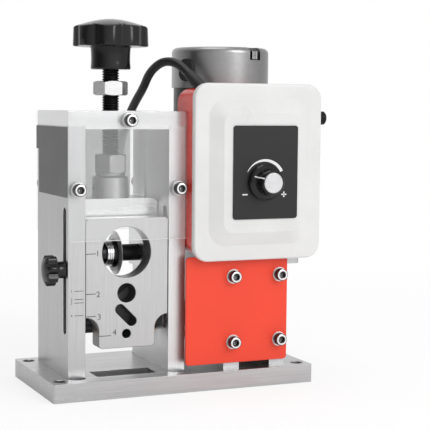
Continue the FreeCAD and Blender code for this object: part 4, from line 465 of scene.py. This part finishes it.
def flattened(node, body):
    """A copy of a plate or block whose flat faces are shaded flat, right up to their edges and holes."""
    same_spot = 0.000001
    mesh = nodes[node].data.copy()
    material = nodes[node].material_slots[0].material
    if "custom_normal" in mesh.attributes:
        mesh.attributes.remove(mesh.attributes["custom_normal"])
    work = bmesh.new()
    work.from_mesh(mesh)
    bmesh.ops.remove_doubles(work, verts=work.verts, dist=same_spot)
    work.to_mesh(mesh)
    work.free()
    mesh.materials.clear()
    made = add_mesh(node + "_look", mesh, material, body, angle=30, square=True)
    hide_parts(node)


# Mains lead: the route's points of the part's source, then the turns of the put-away coil.

LEAD_SIZE = 6.2
BOOT_BASE = Vector((16, -29, 206.5))
BOOT_HEADING = Vector((-0.256, 0.775, 0.575)).normalized()
BOOT_LENGTH, STRAIGHT_LENGTH = 16, 8
LEAD_ROUTE = [(6.5, -3.9, 224.2), (2.6, 3, 225.2), (-0.9, 9.9, 223.1), (-4.2, 19, 216.6),
              (-4.8, 28.4, 206.6), (-6.4, 39.2, 197.6), (-7.8, 49.2, 187.4), (-11.2, 54.2, 172.8),
              (-13.6, 56, 157.3), (-13.1, 57.5, 141.5), (-8.1, 58.3, 125.2), (-0.1, 58.8, 110.2),
              (7.4, 59.1, 94.5), (11.2, 58.2, 78), (12.6, 57, 62.5), (13.2, 55.8, 47),
              (16.4, 54.8, 30.3), (25.9, 54, 16), (40.2, 53.3, 6.5), (57, 53, 3.1)]
COIL_X, FLOOR_Y, COIL_RADIUS, COIL_PITCH, COIL_RISE = 81, 53, 45.4, 6.8, 6.8
COIL_TURNS, REVERSAL = 2.875, 0.5
POINTS_PER_TURN = 16


def coil_points():
    """The put-away coil: inwards on the floor, then up and back outwards on top of itself."""
    points = []
    total = 2 * COIL_TURNS + REVERSAL
    steps = round(total * POINTS_PER_TURN)
    inner = COIL_RADIUS - COIL_PITCH * COIL_TURNS
    for k in range(1, steps + 1):
        turn = total * k / steps
        share = min(1, max(0, (turn - COIL_TURNS) / REVERSAL))
        height = LEAD_SIZE / 2 + COIL_RISE * (3 * share ** 2 - 2 * share ** 3)
        if turn <= COIL_TURNS:
            radius = COIL_RADIUS - COIL_PITCH * turn
        elif share < 1:
            radius = inner - COIL_PITCH * REVERSAL * (share - share ** 2)
        else:
            radius = inner + COIL_PITCH * (turn - COIL_TURNS - REVERSAL)
        angle = 2 * math.pi * turn - math.pi / 2
        across = COIL_X + radius * math.cos(angle)
        along = FLOOR_Y + COIL_RADIUS + radius * math.sin(angle)
        points.append((across, along, height))
    return points


def mains_lead():
    """The lead from the strain relief's end to the plug, as one curve with a round section."""
    start = BOOT_BASE + BOOT_HEADING * BOOT_LENGTH
    points = [tuple(start), tuple(start + BOOT_HEADING * STRAIGHT_LENGTH)] + LEAD_ROUTE
    points.append((COIL_X - LEAD_SIZE, FLOOR_Y, LEAD_SIZE / 2))
    points += coil_points()
    last = points[-1]
    points.append((last[0], last[1] + LEAD_SIZE, last[2]))
    data = bpy.data.curves.new("mains_lead_look", "CURVE")
    data.dimensions = "3D"
    data.bevel_depth = LEAD_SIZE / 2000
    data.bevel_resolution = 5
    data.resolution_u = 8
    spline = data.splines.new("NURBS")
    spline.points.add(len(points) - 1)
    for place, spot in zip(spline.points, points):
        place.co = (*mm(*spot), 1)
    spline.order_u = 3
    spline.use_endpoint_u = True
    data.materials.append(cable)
    lead = linked("mains_lead_look", data)
    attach(lead, "frame")
    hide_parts("mains_lead", "lead_coil")


mains_lead()


# Plates and blocks.

for node in ("base_plate", "left_upright", "right_upright", "top_bar", "gear_plates", "motor_plate"):
    flattened(node, "frame")
flattened("slide_block", "slide")
flattened("red_cover_plate", "frame")


# Adjusting screw with its real thread and hexagon collar.

SCREW_X, SCREW_Y = -39, 2
THREAD_PITCH, THREAD_ROOT, THREAD_DEPTH = 1.75, 5.0, 0.97
THREAD_BOTTOM, THREAD_TOP = 160.6, 231
COLLAR_FLATS, COLLAR_BOTTOM, COLLAR_TOP, COLLAR_TURN = 21, 147.5, 160.3, 10.6


def hexagon_radius(flats, angle):
    """How far a hexagon reaches, with a corner at angle 0."""
    return flats / 2 / math.cos(angle % (math.pi / 3) - math.pi / 6)


def screw_radius(angle, radius, height):
    """The collar's flats, then the right-handed flanks of the thread, by angle and height."""
    if COLLAR_BOTTOM <= height <= COLLAR_TOP:
        return min(radius, hexagon_radius(COLLAR_FLATS, angle))
    if height < THREAD_BOTTOM or height > THREAD_TOP:
        return radius
    flat_root, flank = 0.12, 0.7
    share = (height / THREAD_PITCH - angle / (2 * math.pi)) % 1
    ramp = min(share, 1 - share) * 2
    return THREAD_ROOT + THREAD_DEPTH * min(1, max(0, (ramp - flat_root) / flank))


def adjusting_screw():
    """The screw from its journal in the boss to its end in the star knob."""
    corner = COLLAR_FLATS / math.sqrt(3)
    trim_start, trim_rise, trim_steps = 10.3, 1.1, 5
    rows_per_turn = 8
    rows = [(4.5, 131.6), (5, 132.1), (5, 135.6), (4, 135.6), (4, 139.6), (5, 139.6), (5, 145.3),
            (9.7, 145.3), (10, 145.6), (10, COLLAR_BOTTOM)]
    trims = []
    for k in range(trim_steps + 1):
        share = k / trim_steps
        trims.append((trim_start + (corner + 0.1 - trim_start) * share, trim_rise * share ** 1.4))
    rows += [(radius, COLLAR_BOTTOM + rise) for radius, rise in trims]
    rows += [(radius, COLLAR_TOP - rise) for radius, rise in reversed(trims)]
    rows += [(5.4, COLLAR_TOP)]
    steps = round((THREAD_TOP - THREAD_BOTTOM) / THREAD_PITCH * rows_per_turn)
    rows += [(6, THREAD_BOTTOM + (THREAD_TOP - THREAD_BOTTOM) * k / steps) for k in range(steps + 1)]
    rows.append((4.9, 232))
    mesh = turned_mesh("adjusting_screw_look", rows, TURNED_SEGMENTS, screw_radius)
    shift(mesh, SCREW_X, SCREW_Y, 0, Matrix.Rotation(math.radians(COLLAR_TURN), 3, "Z"))
    made = add_mesh("adjusting_screw_look", mesh, dark_steel, "screw", angle=50)
    mesh.materials.append(boss_steel)
    for face in mesh.polygons:
        if COLLAR_BOTTOM - 3 < face.center.z * 1000 < COLLAR_TOP + 0.1:
            face.material_index = 1
    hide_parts("adjusting_screw")


adjusting_screw()


# Scalloped knobs: on top of the adjusting screw, and on the guide plate's clamp.

POINTS_PER_LOBE = 28


def lobed_radius(size, depth, lobes):
    """A knob's rim by angle, with round lobes and narrower grooves, the first groove at angle 0."""
    def radius_at(angle, radius, height):
        share = abs(math.sin(angle * lobes / 2)) ** 1.4
        return min(radius, size / 2 - depth * (1 - share))
    return radius_at


def add_knob(name, rows, size, depth, lobes, spot, turn, body, node):
    """A scalloped knob from its profile, in place of the plain one."""
    mesh = turned_mesh(name, rows, lobes * POINTS_PER_LOBE, lobed_radius(size, depth, lobes))
    shift(mesh, *spot, turn)
    made = add_mesh(name, mesh, black_gloss, body)
    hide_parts(node)


add_knob("star_knob_look",
         [(6.1, 13.4), (6.1, 0), (13, 0), (13.7, 0.5), (13.8, 1.2), (13.55, 4), (13.45, 7.5), (13.55, 11),
          (13.75, 14), (13.8, 14.7), (14.3, 14.8), (14.3, 15.4), (24.6, 15.6), (25.6, 15.9), (26, 16.6),
          (25.5, 28.2), (25.1, 28.9), (24.4, 29.4), (23, 29.9), (20, 30.9), (16, 32.1), (12, 33.1), (8, 33.9),
          (4, 34.4), (0.5, 34.5)],
         size=52, depth=2.9, lobes=8, spot=(SCREW_X, SCREW_Y, 218.5), turn=None,
         body="screw", node="star_knob")
add_knob("side_knob_look",
         [(3.05, 8), (3.05, 0), (5.6, 0), (6, 0.4), (5.75, 1.5), (5.6, 3.5), (5.75, 5.6), (6.1, 6.2),
          (9.4, 6.4), (10.1, 6.7), (10.5, 7.3), (10.5, 12), (10.2, 12.6), (9.4, 13.2), (7.5, 14),
          (5.5, 14.6), (3.5, 15), (1.5, 15.2), (0.2, 15.2)],
         size=21, depth=2.8, lobes=7, spot=(-81, -25.7, 84.9), turn=Matrix.Rotation(-math.pi / 2, 3, "Y"),
         body="side_clamp", node="side_knob")


# Socket head screws of the guards, the cover and the motor, with painted shade in their sockets and a painted
# dark reflection round their heads.

SCREW_SEGMENTS = 48
# Face rows in the painted shade material: the head's side and chamfers for a painted dark reflection, the
# socket for its shade.
PAINTED_SHADE_ROWS = (3, 4, 5, 6, 9, 10, 11, 12)
FRONT, BACK, DOWN, UP = (0, -1, 0), (0, 1, 0), (0, 0, -1), (0, 0, 1)


def socket_screw(size, head, height, shank):
    """A screw with its head above its own origin, in millimetres; a painted dark reflection on its head's
    side, painted shade in its socket.
    """
    flats = size * 0.8
    floor = height * 0.4

    def radius_at(angle, radius, level):
        in_socket = level > 0 and radius == flats
        return hexagon_radius(flats, angle) if in_socket else radius

    rim = head / 2
    rows = [(size / 2 - 0.4, -shank), (size / 2, 0.4 - shank), (size / 2, 0), (rim - 0.15, 0), (rim, 0.15),
            (rim, height - 0.6), (rim - 0.2, height - 0.2), (rim - 0.55, height - 0.05), (rim - 0.65, height),
            (flats * 0.64, height), (flats * 0.585, height - 0.4), (flats, height - 0.45), (flats, floor),
            (0.3, floor - 0.6)]
    mesh = turned_mesh("screw", rows, SCREW_SEGMENTS, radius_at)
    for number, face in enumerate(mesh.polygons):
        face.material_index = 1 if number // SCREW_SEGMENTS in PAINTED_SHADE_ROWS else 0
    return mesh


def add_screws(name, screw, spots, body, node):
    """Copies of one screw, each with its head looking along an axis and its socket turned by its place."""
    work = bmesh.new()
    for x, y, z, axis in spots:
        copy = screw.copy()
        turn = Vector(UP).rotation_difference(Vector(axis)).to_matrix()
        socket_turn = Matrix.Rotation(math.radians(10 + 17 * x % 50), 3, "Z")
        shift(copy, x, y, z, turn @ socket_turn)
        work.from_mesh(copy)
    mesh = bpy.data.meshes.new(name)
    work.to_mesh(mesh)
    made = add_mesh(name, mesh, chrome, body)
    mesh.materials.append(screw_painted_shade)
    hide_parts(node)


guard_spots = [(-39, 184.25), (-74.7, 138.5), (-3.3, 138.5)]
cover_spots = [(x, z) for x in (35.6, 71) for z in (31.4, 77.2)]
panel_spots = [(x, -37, z, FRONT) for x, z in guard_spots]
panel_spots += [(x, -42, z, FRONT) for x, z in cover_spots]
panel_spots += [(x, 41, z, BACK) for x, z in guard_spots]
panel_spots += [(MOTOR_X, y, 84, DOWN) for y in (0, 48)]
top_spots = [(x, y, 184.3, UP) for x in (-74.7, -3.3) for y in (-18, 22)]
panel_screw = socket_screw(size=5, head=8.5, height=5, shank=15)
top_screw = socket_screw(size=6, head=10, height=5.7, shank=20)
add_screws("panel_screws_look", panel_screw, panel_spots, "frame", "panel_screws")
add_screws("top_screws_look", top_screw, top_spots, "frame", "top_screws")


# Guide plate with its four openings, the coves at its shoulders and broken edges.

def to_left(loop, distance):
    """Move a closed loop's points to its left side, by a limited amount in a very sharp corner."""
    least_lean = 0.4
    moved = []
    for before, here, after in zip(loop[-1:] + loop[:-1], loop, loop[1:] + loop[:1]):
        first = (here - before).normalized()
        second = (after - here).normalized()
        side = Vector((-first.y - second.y, first.x + second.x)).normalized()
        lean = max(least_lean, side.dot(Vector((-first.y, first.x))))
        moved.append(here + side * distance / lean)
    return moved


def arc(x, z, radius, start, end, steps=16):
    """Points on an arc between two angles in degrees."""
    angles = [math.radians(start + (end - start) * k / steps) for k in range(steps + 1)]
    return [Vector((x + radius * math.cos(angle), z + radius * math.sin(angle))) for angle in angles]


def plate_mesh(name, loops, front, back, edge):
    """A plate between two depths in Y, from an outline and openings that have the metal on their left.

    Its edges are broken by a small slope. The loops are in millimetres and the mesh in metres.
    """
    points, faces = [], []
    depths = [(front, edge), (front + edge, 0), (back - edge, 0), (back, edge)]
    starts = []
    for loop in loops:
        starts.append(len(points))
        for depth, inset in depths:
            points += [(spot.x, depth, spot.y) for spot in (to_left(loop, inset) if inset else loop)]
        count = len(loop)
        for ring in range(len(depths) - 1):
            low = starts[-1] + ring * count
            for k in range(count):
                following = (k + 1) % count
                faces.append((low + k, low + following, low + following + count, low + k + count))
    order = [(start, len(loop)) for start, loop in zip(starts, loops)]
    flat = []
    for start, count in order:
        flat.append([Vector((points[start + k][0], points[start + k][2], 0)) for k in range(count)])
    for depth_row in (0, len(depths) - 1):
        numbers = [start + depth_row * count + k for start, count in order for k in range(count)]
        for triangle in tessellate_polygon(flat):
            faces.append(tuple(numbers[corner] for corner in triangle))
    mesh = mesh_from(name, points, faces)
    face_outwards(mesh)
    mesh.transform(Matrix.Scale(0.001, 4))
    return mesh


GUIDE_FRONT, GUIDE_BACK = -32.7, -18.7
GUIDE_LEFT, GUIDE_RIGHT, GUIDE_BOTTOM, GUIDE_TOP = -68.3, -9.7, 31, 118.8
GUIDE_CORNER = 2.5
GUIDE_HOLE_X = -39.4
COVE_Z, COVE_RADIUS = 43.2, 9.4


def full_circle(x, z, radius):
    """A round opening, clockwise so that the metal is on its left."""
    return arc(x, z, radius, 360, 0, 64)[:-1]


def slanted_slot(x, z, reach, width):
    """A round-ended slot that falls to the right, clockwise too."""
    upper = arc(x - reach, z + reach, width / 2, 225, 45, 20)
    lower = arc(x + reach, z - reach, width / 2, 45, -135, 20)
    return upper + lower


def guide_plate():
    """The guide plate, with painted shade on the walls of its three lower openings."""
    foot_left, foot_right = GUIDE_LEFT + COVE_RADIUS + GUIDE_CORNER, GUIDE_RIGHT - COVE_RADIUS - GUIDE_CORNER
    foot, head = GUIDE_BOTTOM + GUIDE_CORNER, GUIDE_TOP - GUIDE_CORNER
    outline = arc(GUIDE_LEFT, COVE_Z, COVE_RADIUS, 90, 0, 20)
    outline += arc(foot_left, foot, GUIDE_CORNER, 180, 270, 8)
    outline += arc(foot_right, foot, GUIDE_CORNER, 270, 360, 8)
    outline += arc(GUIDE_RIGHT, COVE_Z, COVE_RADIUS, 180, 90, 20)
    outline += arc(GUIDE_RIGHT - GUIDE_CORNER, head, GUIDE_CORNER, 0, 90, 8)
    outline += arc(GUIDE_LEFT + GUIDE_CORNER, head, GUIDE_CORNER, 90, 180, 8)
    large_hole = full_circle(GUIDE_HOLE_X, 95.8, 17.4)
    middle_hole = full_circle(GUIDE_HOLE_X, 68.2, 6.5)
    slot = slanted_slot(-39.8, 53.1, reach=4.1, width=7)
    small_hole = full_circle(GUIDE_HOLE_X, 40.5, 3.1)
    loops = [outline, large_hole, middle_hole, slot, small_hole]
    mesh = plate_mesh("guide_plate_look", loops, GUIDE_FRONT, GUIDE_BACK, edge=0.25)
    made = add_mesh("guide_plate_look", mesh, guide_brushed, "guide", angle=30)
    # Painted shade: the walls of the three lower openings get a dark steel that stands in for the shade
    # inside them.
    mesh.materials.append(opening_painted_shade)
    for face in mesh.polygons:
        centre = face.center * 1000
        is_wall = abs(face.normal.y) < 0.5
        at_lower_openings = abs(centre.x - GUIDE_HOLE_X) < 8 and 36 < centre.z < 75
        face.material_index = 1 if is_wall and at_lower_openings else 0
    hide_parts("guide_plate")


guide_plate()


# Blade fittings: the grooved nut, the dark collar beside the blade, and the sleeve on the block's boss.

def blade_fitting(name, rows, start, material, body, replaced=()):
    """A turned piece on the blade's axis, from its left end towards the blade."""
    mesh = turned_mesh(name, rows, TURNED_SEGMENTS)
    shift(mesh, start, BLADE_Y, BLADE_Z, Matrix.Rotation(math.pi / 2, 3, "Y"))
    made = add_mesh(name, mesh, material, body, angle=20)
    if replaced:
        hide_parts(*replaced)


blade_fitting("blade_nut_look",
              [(5.05, 0), (8.2, 0), (8.9, 0.5), (8.9, 1.4), (8.5, 1.7), (9.2, 2.1), (9.2, 3.1), (8.7, 3.4),
               (9.2, 3.8), (9.2, 4.6), (5.05, 4.6)],
              -45.2, bright_steel, "blade", ("blade_nut", "blade_washer"))
blade_fitting("blade_collar_look", [(5.05, 0), (9.4, 0), (9.8, 0.3), (10.2, 2.1), (5.05, 2.1)],
              -40.6, dark_steel, "blade", ("blade_collar",))
blade_fitting("boss_sleeve",
              [(4.3, 0), (5.95, 0), (5.95, 6), (7.6, 6.2), (7.6, 10.1), (7.2, 10.5), (4.3, 10.5)],
              -55.8, dark_steel, "slide")


def guards():
    """The clear guards, with screw holes and polished edges, a hair clear of the metal that they lie on."""
    right, top, corner = 2.7, 190.3, 2.5
    hole_radius = 2.75
    clear_of_metal = 0.08
    low_z, high_z = GUARD_BOTTOM + corner, top - corner
    outline = arc(UPRIGHT_LEFT + corner, low_z, corner, 180, 270, 6)
    outline += arc(right - corner, low_z, corner, 270, 360, 6)
    outline += arc(right - corner, high_z, corner, 0, 90, 6)
    outline += arc(UPRIGHT_LEFT + corner, high_z, corner, 90, 180, 6)
    holes = [full_circle(x, z, hole_radius) for x, z in guard_spots]
    front_faces = (GUARD_FRONT, GUARD_FRONT + GUARD_THICK - clear_of_metal)
    rear_faces = (REAR_GUARD_FRONT + clear_of_metal, REAR_GUARD_FRONT + GUARD_THICK)
    for node, (front, back) in (("front_guard", front_faces), ("rear_guard", rear_faces)):
        mesh = plate_mesh(node + "_look", [outline] + holes, front, back, edge=0.15)
        made = add_mesh(node + "_look", mesh, acrylic_sheet, "frame", angle=30)
        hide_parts(node)


guards()


def slit_curtain():
    """Dark sheets behind the three lower openings, with a slanted gap between the outer two: painted shade
    for the dark inside of the frame.
    """
    thick = 0.5
    left, right, low, high = -49, -29.5, 36, 75.5
    # Painted shade: a grey sheet and a black sheet stand in for the shade seen through the openings.
    for name, front, material, corners in (
            ("shade_backing_upper", GUIDE_BACK, backing_grey_painted_shade, ((left, 65.7), (-35.7, high), (left, high))),
            ("shade_backing_lower", GUIDE_BACK, backing_grey_painted_shade,
             ((left, low), (right, low), (right, 73.3), (left, 58.9))),
            ("shade_backing_inner", GUIDE_BACK + thick, rubber_and_painted_shade,
             ((left, 57.5), (right, 71.9), (right, high), (-33.5, high), (left, 67)))):
        mesh = plate_mesh(name, [[Vector(corner) for corner in corners]], front, front + thick, edge=0.1)
        add_mesh(name, mesh, material, "guide")


slit_curtain()


# Index lines and numerals on the guide plate and on the left upright, as thin dark prints.

PRINT_THICK = 0.06
ON_GUIDE = (GUIDE_FRONT, print_dark, "guide")
ON_UPRIGHT = (UPRIGHT_FRONT, print_dark, "frame")
ON_PANEL = (PANEL_FRONT, print_white, "frame")


def stroke(name, corners, plane_y, material, body):
    """A thin raised outline of (x, z) corners on a face that looks to the front."""
    count = len(corners)
    points = [mm(x, y, z) for y in (plane_y, plane_y - PRINT_THICK) for x, z in corners]
    faces = [tuple(range(count, 2 * count)), tuple(reversed(range(count)))]
    for k in range(count):
        following = (k + 1) % count
        faces.append((k, following, following + count, k + count))
    add_mesh(name, mesh_from(name, points, faces), material, body)


def bar_on_front(name, x0, x1, z, height, *place):
    """A straight bar between two places in X, at a height."""
    low, high = z - height / 2, z + height / 2
    stroke(name, [(x0, low), (x1, low), (x1, high), (x0, high)], *place)


def numeral(name, text, x, z, size, plane_y, material, body):
    """A numeral on a face that looks to the front, centred on its place."""
    data = bpy.data.curves.new(name, "FONT")
    data.body = text
    data.size = size / 1000
    data.extrude = PRINT_THICK / 2000
    data.align_x = "CENTER"
    data.align_y = "CENTER"
    made = linked(name, data)
    upright = Matrix.Rotation(math.pi / 2, 4, "X")
    made.matrix_world = Matrix.Translation(mm(x, plane_y - PRINT_THICK / 2, z)) @ upright
    data.materials.append(material)
    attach(made, body)


guide_line, guide_numeral = 0.5, 5.6
mark_line, mark_numeral = 0.4, 2.6
index_lines = [(-68.1, -61.2, 95.5, -60, 95.5), (-68.1, -61.2, 68.6, -59.6, 68),
               (-68.1, -61.2, 53.5, -58.8, 52.8), (-59.4, -50.6, 39.8, -48, 41.7)]
for count, (start, end, z, text_x, text_z) in enumerate(index_lines, start=1):
    bar_on_front(f"index_line_{count}", start, end, z, guide_line, *ON_GUIDE)
    numeral(f"numeral_{count}", str(count), text_x, text_z, guide_numeral, *ON_GUIDE)
for count, z in enumerate((71.1, 65.6, 63.2, 54.7), start=1):
    bar_on_front(f"upright_mark_{count}", -76.4, -70, z, mark_line, *ON_UPRIGHT)
    numeral(f"upright_numeral_{count}", str(count), -78.3, z, mark_numeral, *ON_UPRIGHT)


# Speed dial: scale arc with its minus and plus on the panel, pointer on the knob.

def dial_arc():
    """The scale over the knob, which grows thicker towards the plus."""
    start, sweep, radius = 152, 123, 14.6
    thin, growth = 0.3, 1.9
    steps = 36
    outer, inner = [], []
    for k in range(steps + 1):
        angle = math.radians(start - sweep * k / steps)
        half = (thin + growth * math.sin(0.5 * math.pi * k / steps)) / 2
        for ring, reach in ((outer, radius + half), (inner, radius - half)):
            ring.append((DIAL_X + reach * math.cos(angle), DIAL_Z + reach * math.sin(angle)))
    stroke("dial_arc", inner + outer[::-1], *ON_PANEL)


def dial_signs():
    """The minus to the left of the dial and the plus to its right."""
    near, far, width = 12.8, 16.6, 0.9
    minus_z, plus_z = DIAL_Z - 8.5, DIAL_Z - 8.8
    plus_x = DIAL_X + (near + far) / 2
    bar_on_front("dial_minus", DIAL_X - far, DIAL_X - near, minus_z, width, *ON_PANEL)
    bar_on_front("dial_plus_across", DIAL_X + near, DIAL_X + far, plus_z, width, *ON_PANEL)
    bar_on_front("dial_plus_up", plus_x - width / 2, plus_x + width / 2, plus_z, far - near, *ON_PANEL)


def dial_pointer():
    """A white line over the knob's skirt and up its grip, following the knob's profile."""
    profile = [(11.5, 3.15), (9.25, 4.65), (8.85, 5.6), (8.4, 13), (7.75, 13.7)]
    heading, knob_base = math.radians(157), -55.6
    half_width, proud, sunk = 0.42, 0.12, -0.25
    outward = Vector((math.cos(heading), 0, math.sin(heading)))
    across = Vector((-outward.z, 0, outward.x))
    points, faces = [], []
    for radius, depth in profile:
        middle = Vector((DIAL_X, knob_base - depth, DIAL_Z))
        for lift, side in product((proud, sunk), (-half_width, half_width)):
            points.append((middle + outward * (radius + lift) + across * side) / 1000)
    last = 4 * (len(profile) - 1)
    for k in range(0, last, 4):
        faces += [(k, k + 1, k + 5, k + 4), (k + 2, k + 6, k + 7, k + 3), (k, k + 4, k + 6, k + 2),
                  (k + 1, k + 3, k + 7, k + 5)]
    faces += [(0, 2, 3, 1), (last, last + 1, last + 3, last + 2)]
    add_mesh("dial_pointer", mesh_from("dial_pointer", points, faces), print_white, "dial")


dial_arc()
dial_signs()
dial_pointer()


# Bare labels: a dark plate with its tab on the left upright, a pale one inside the rear guard. The same
# pale sheet, as a thin strip, is a painted highlight along the front guard's lower edge.

LABEL_THICK = 0.12


def thin_plate(name, low, high, material):
    """A thin plate between two opposite corners."""
    points = [mm(*spot) for spot in product(*zip(low, high))]
    faces = [(0, 1, 3, 2), (4, 6, 7, 5), (0, 4, 5, 1), (2, 3, 7, 6), (0, 2, 6, 4), (1, 5, 7, 3)]
    mesh = mesh_from(name, points, faces)
    face_outwards(mesh)
    add_mesh(name, mesh, material, "frame")


label_grey = plastic("label_grey", (0.12, 0.12, 0.122), 0.5, grain=900, strength=0.1, edge=None)
pale_label_and_painted_highlight = plastic("pale_label_and_painted_highlight", (0.88, 0.885, 0.885), 0.5, grain=900, strength=0.05, edge=None)
pale_label_and_painted_highlight.node_tree.nodes["Principled BSDF"].inputs["Alpha"].default_value = 0.5
thin_plate("upright_label", (UPRIGHT_LEFT - LABEL_THICK, -32, 133), (UPRIGHT_LEFT, 33.8, 179.6), label_grey)
thin_plate("label_tab", (UPRIGHT_LEFT - LABEL_THICK, 33.8, 163.5), (UPRIGHT_LEFT, 39.9, 179.6), label_grey)
# Painted highlight: a pale strip on the front guard's lower edge stands in for its bright polished edge.
thin_plate("guard_edge_painted_highlight", (-80.5, GUARD_FRONT - 0.05, GUARD_BOTTOM + 0.05),
           (2.5, GUARD_FRONT, GUARD_BOTTOM + 0.6), pale_label_and_painted_highlight)
thin_plate("guard_label", (-67, REAR_GUARD_FRONT - 0.13, 129),
           (-11.6, REAR_GUARD_FRONT - 0.03, 177), pale_label_and_painted_highlight)


# Floor, light and world.

def add_floor():
    """A floor that shows plain white to the camera, with a part of its own shade near the machine."""
    bpy.ops.mesh.primitive_plane_add(size=8, location=(0, 0, -0.0002))
    floor = bpy.context.object
    floor.name = "floor"
    made = Shader("floor")
    made.set(Base_Color=colour(0.98, 0.98, 0.98), Roughness=0.9)
    rays = made.node("ShaderNodeLightPath")
    glow = made.node("ShaderNodeEmission", {"Color": colour(1, 1, 1), "Strength": 1.0})
    seen = made.math("MAXIMUM", rays.outputs["Is Camera Ray"], rays.outputs["Is Transmission Ray"])
    away = made.node("ShaderNodeVectorMath", {0: made.place}, operation="LENGTH").outputs["Value"]
    share = made.spread(away, low=0.74, high=1, start=0.25, end=0.75)
    mixed = made.node("ShaderNodeMixShader", {"Fac": made.math("MULTIPLY", seen, share),
                                              1: made.shader.outputs[0], 2: glow.outputs[0]})
    made.put(mixed.outputs[0], made.tree.nodes["Material Output"].inputs["Surface"])
    floor.data.materials.append(made.material)


def area_light(name, spot, target, size, power):
    """A round lamp at a spot, turned to its target."""
    data = bpy.data.lights.new(name, "AREA")
    data.shape = "DISK"
    data.size = size
    data.energy = power
    lamp = linked(name, data)
    lamp.location = spot
    lamp.rotation_euler = (Vector(target) - Vector(spot)).to_track_quat("-Z", "Y").to_euler()


def add_world():
    """White where the camera or glass looks, a bright front and back in gloss, soft light elsewhere."""
    soft_base, soft_slope = 0.66, (0.22, -0.14, 0.08)
    gloss_base, gloss_slope, gloss_squares = 0.335, (0.19, -0.055, 0), (0, 0.71, 0.25)
    world = bpy.data.worlds.new("studio")
    bpy.context.scene.world = world
    world.use_nodes = True
    made = Nodes(world.node_tree)
    heading = made.node("ShaderNodeTexCoord").outputs["Generated"]

    def weighed(direction, weights):
        """How bright a direction is by its weights for X, Y and Z."""
        dot = made.node("ShaderNodeVectorMath", {0: direction, 1: weights}, operation="DOT_PRODUCT")
        return dot.outputs["Value"]

    squares = made.node("ShaderNodeVectorMath", {0: heading, 1: heading}, operation="MULTIPLY").outputs[0]
    soft = made.math("ADD", weighed(heading, soft_slope), soft_base)
    gloss = made.math("ADD", weighed(squares, gloss_squares), gloss_base)
    gloss = made.math("ADD", weighed(heading, gloss_slope), gloss)
    rays = made.node("ShaderNodeLightPath").outputs
    seen = made.math("MAXIMUM", rays["Is Camera Ray"], rays["Is Transmission Ray"])
    unseen = made.node("ShaderNodeMix", {0: rays["Is Glossy Ray"], 2: soft, 3: gloss}).outputs[0]
    strength = made.node("ShaderNodeMix", {0: seen, 2: unseen, 3: 1.0}).outputs[0]
    background = made.tree.nodes["Background"]
    made.put(strength, background.inputs["Strength"])
    made.put(colour(1, 1, 1), background.inputs["Color"])


add_floor()
add_world()
area_light("key", spot=(0.55, -1.4, 0.85), target=(0, 0, 0.12), size=0.9, power=9)
area_light("top", spot=(-0.1, 0.1, 1.4), target=(0, 0, 0.1), size=0.8, power=3)
bpy.context.scene.view_settings.view_transform = "Standard"
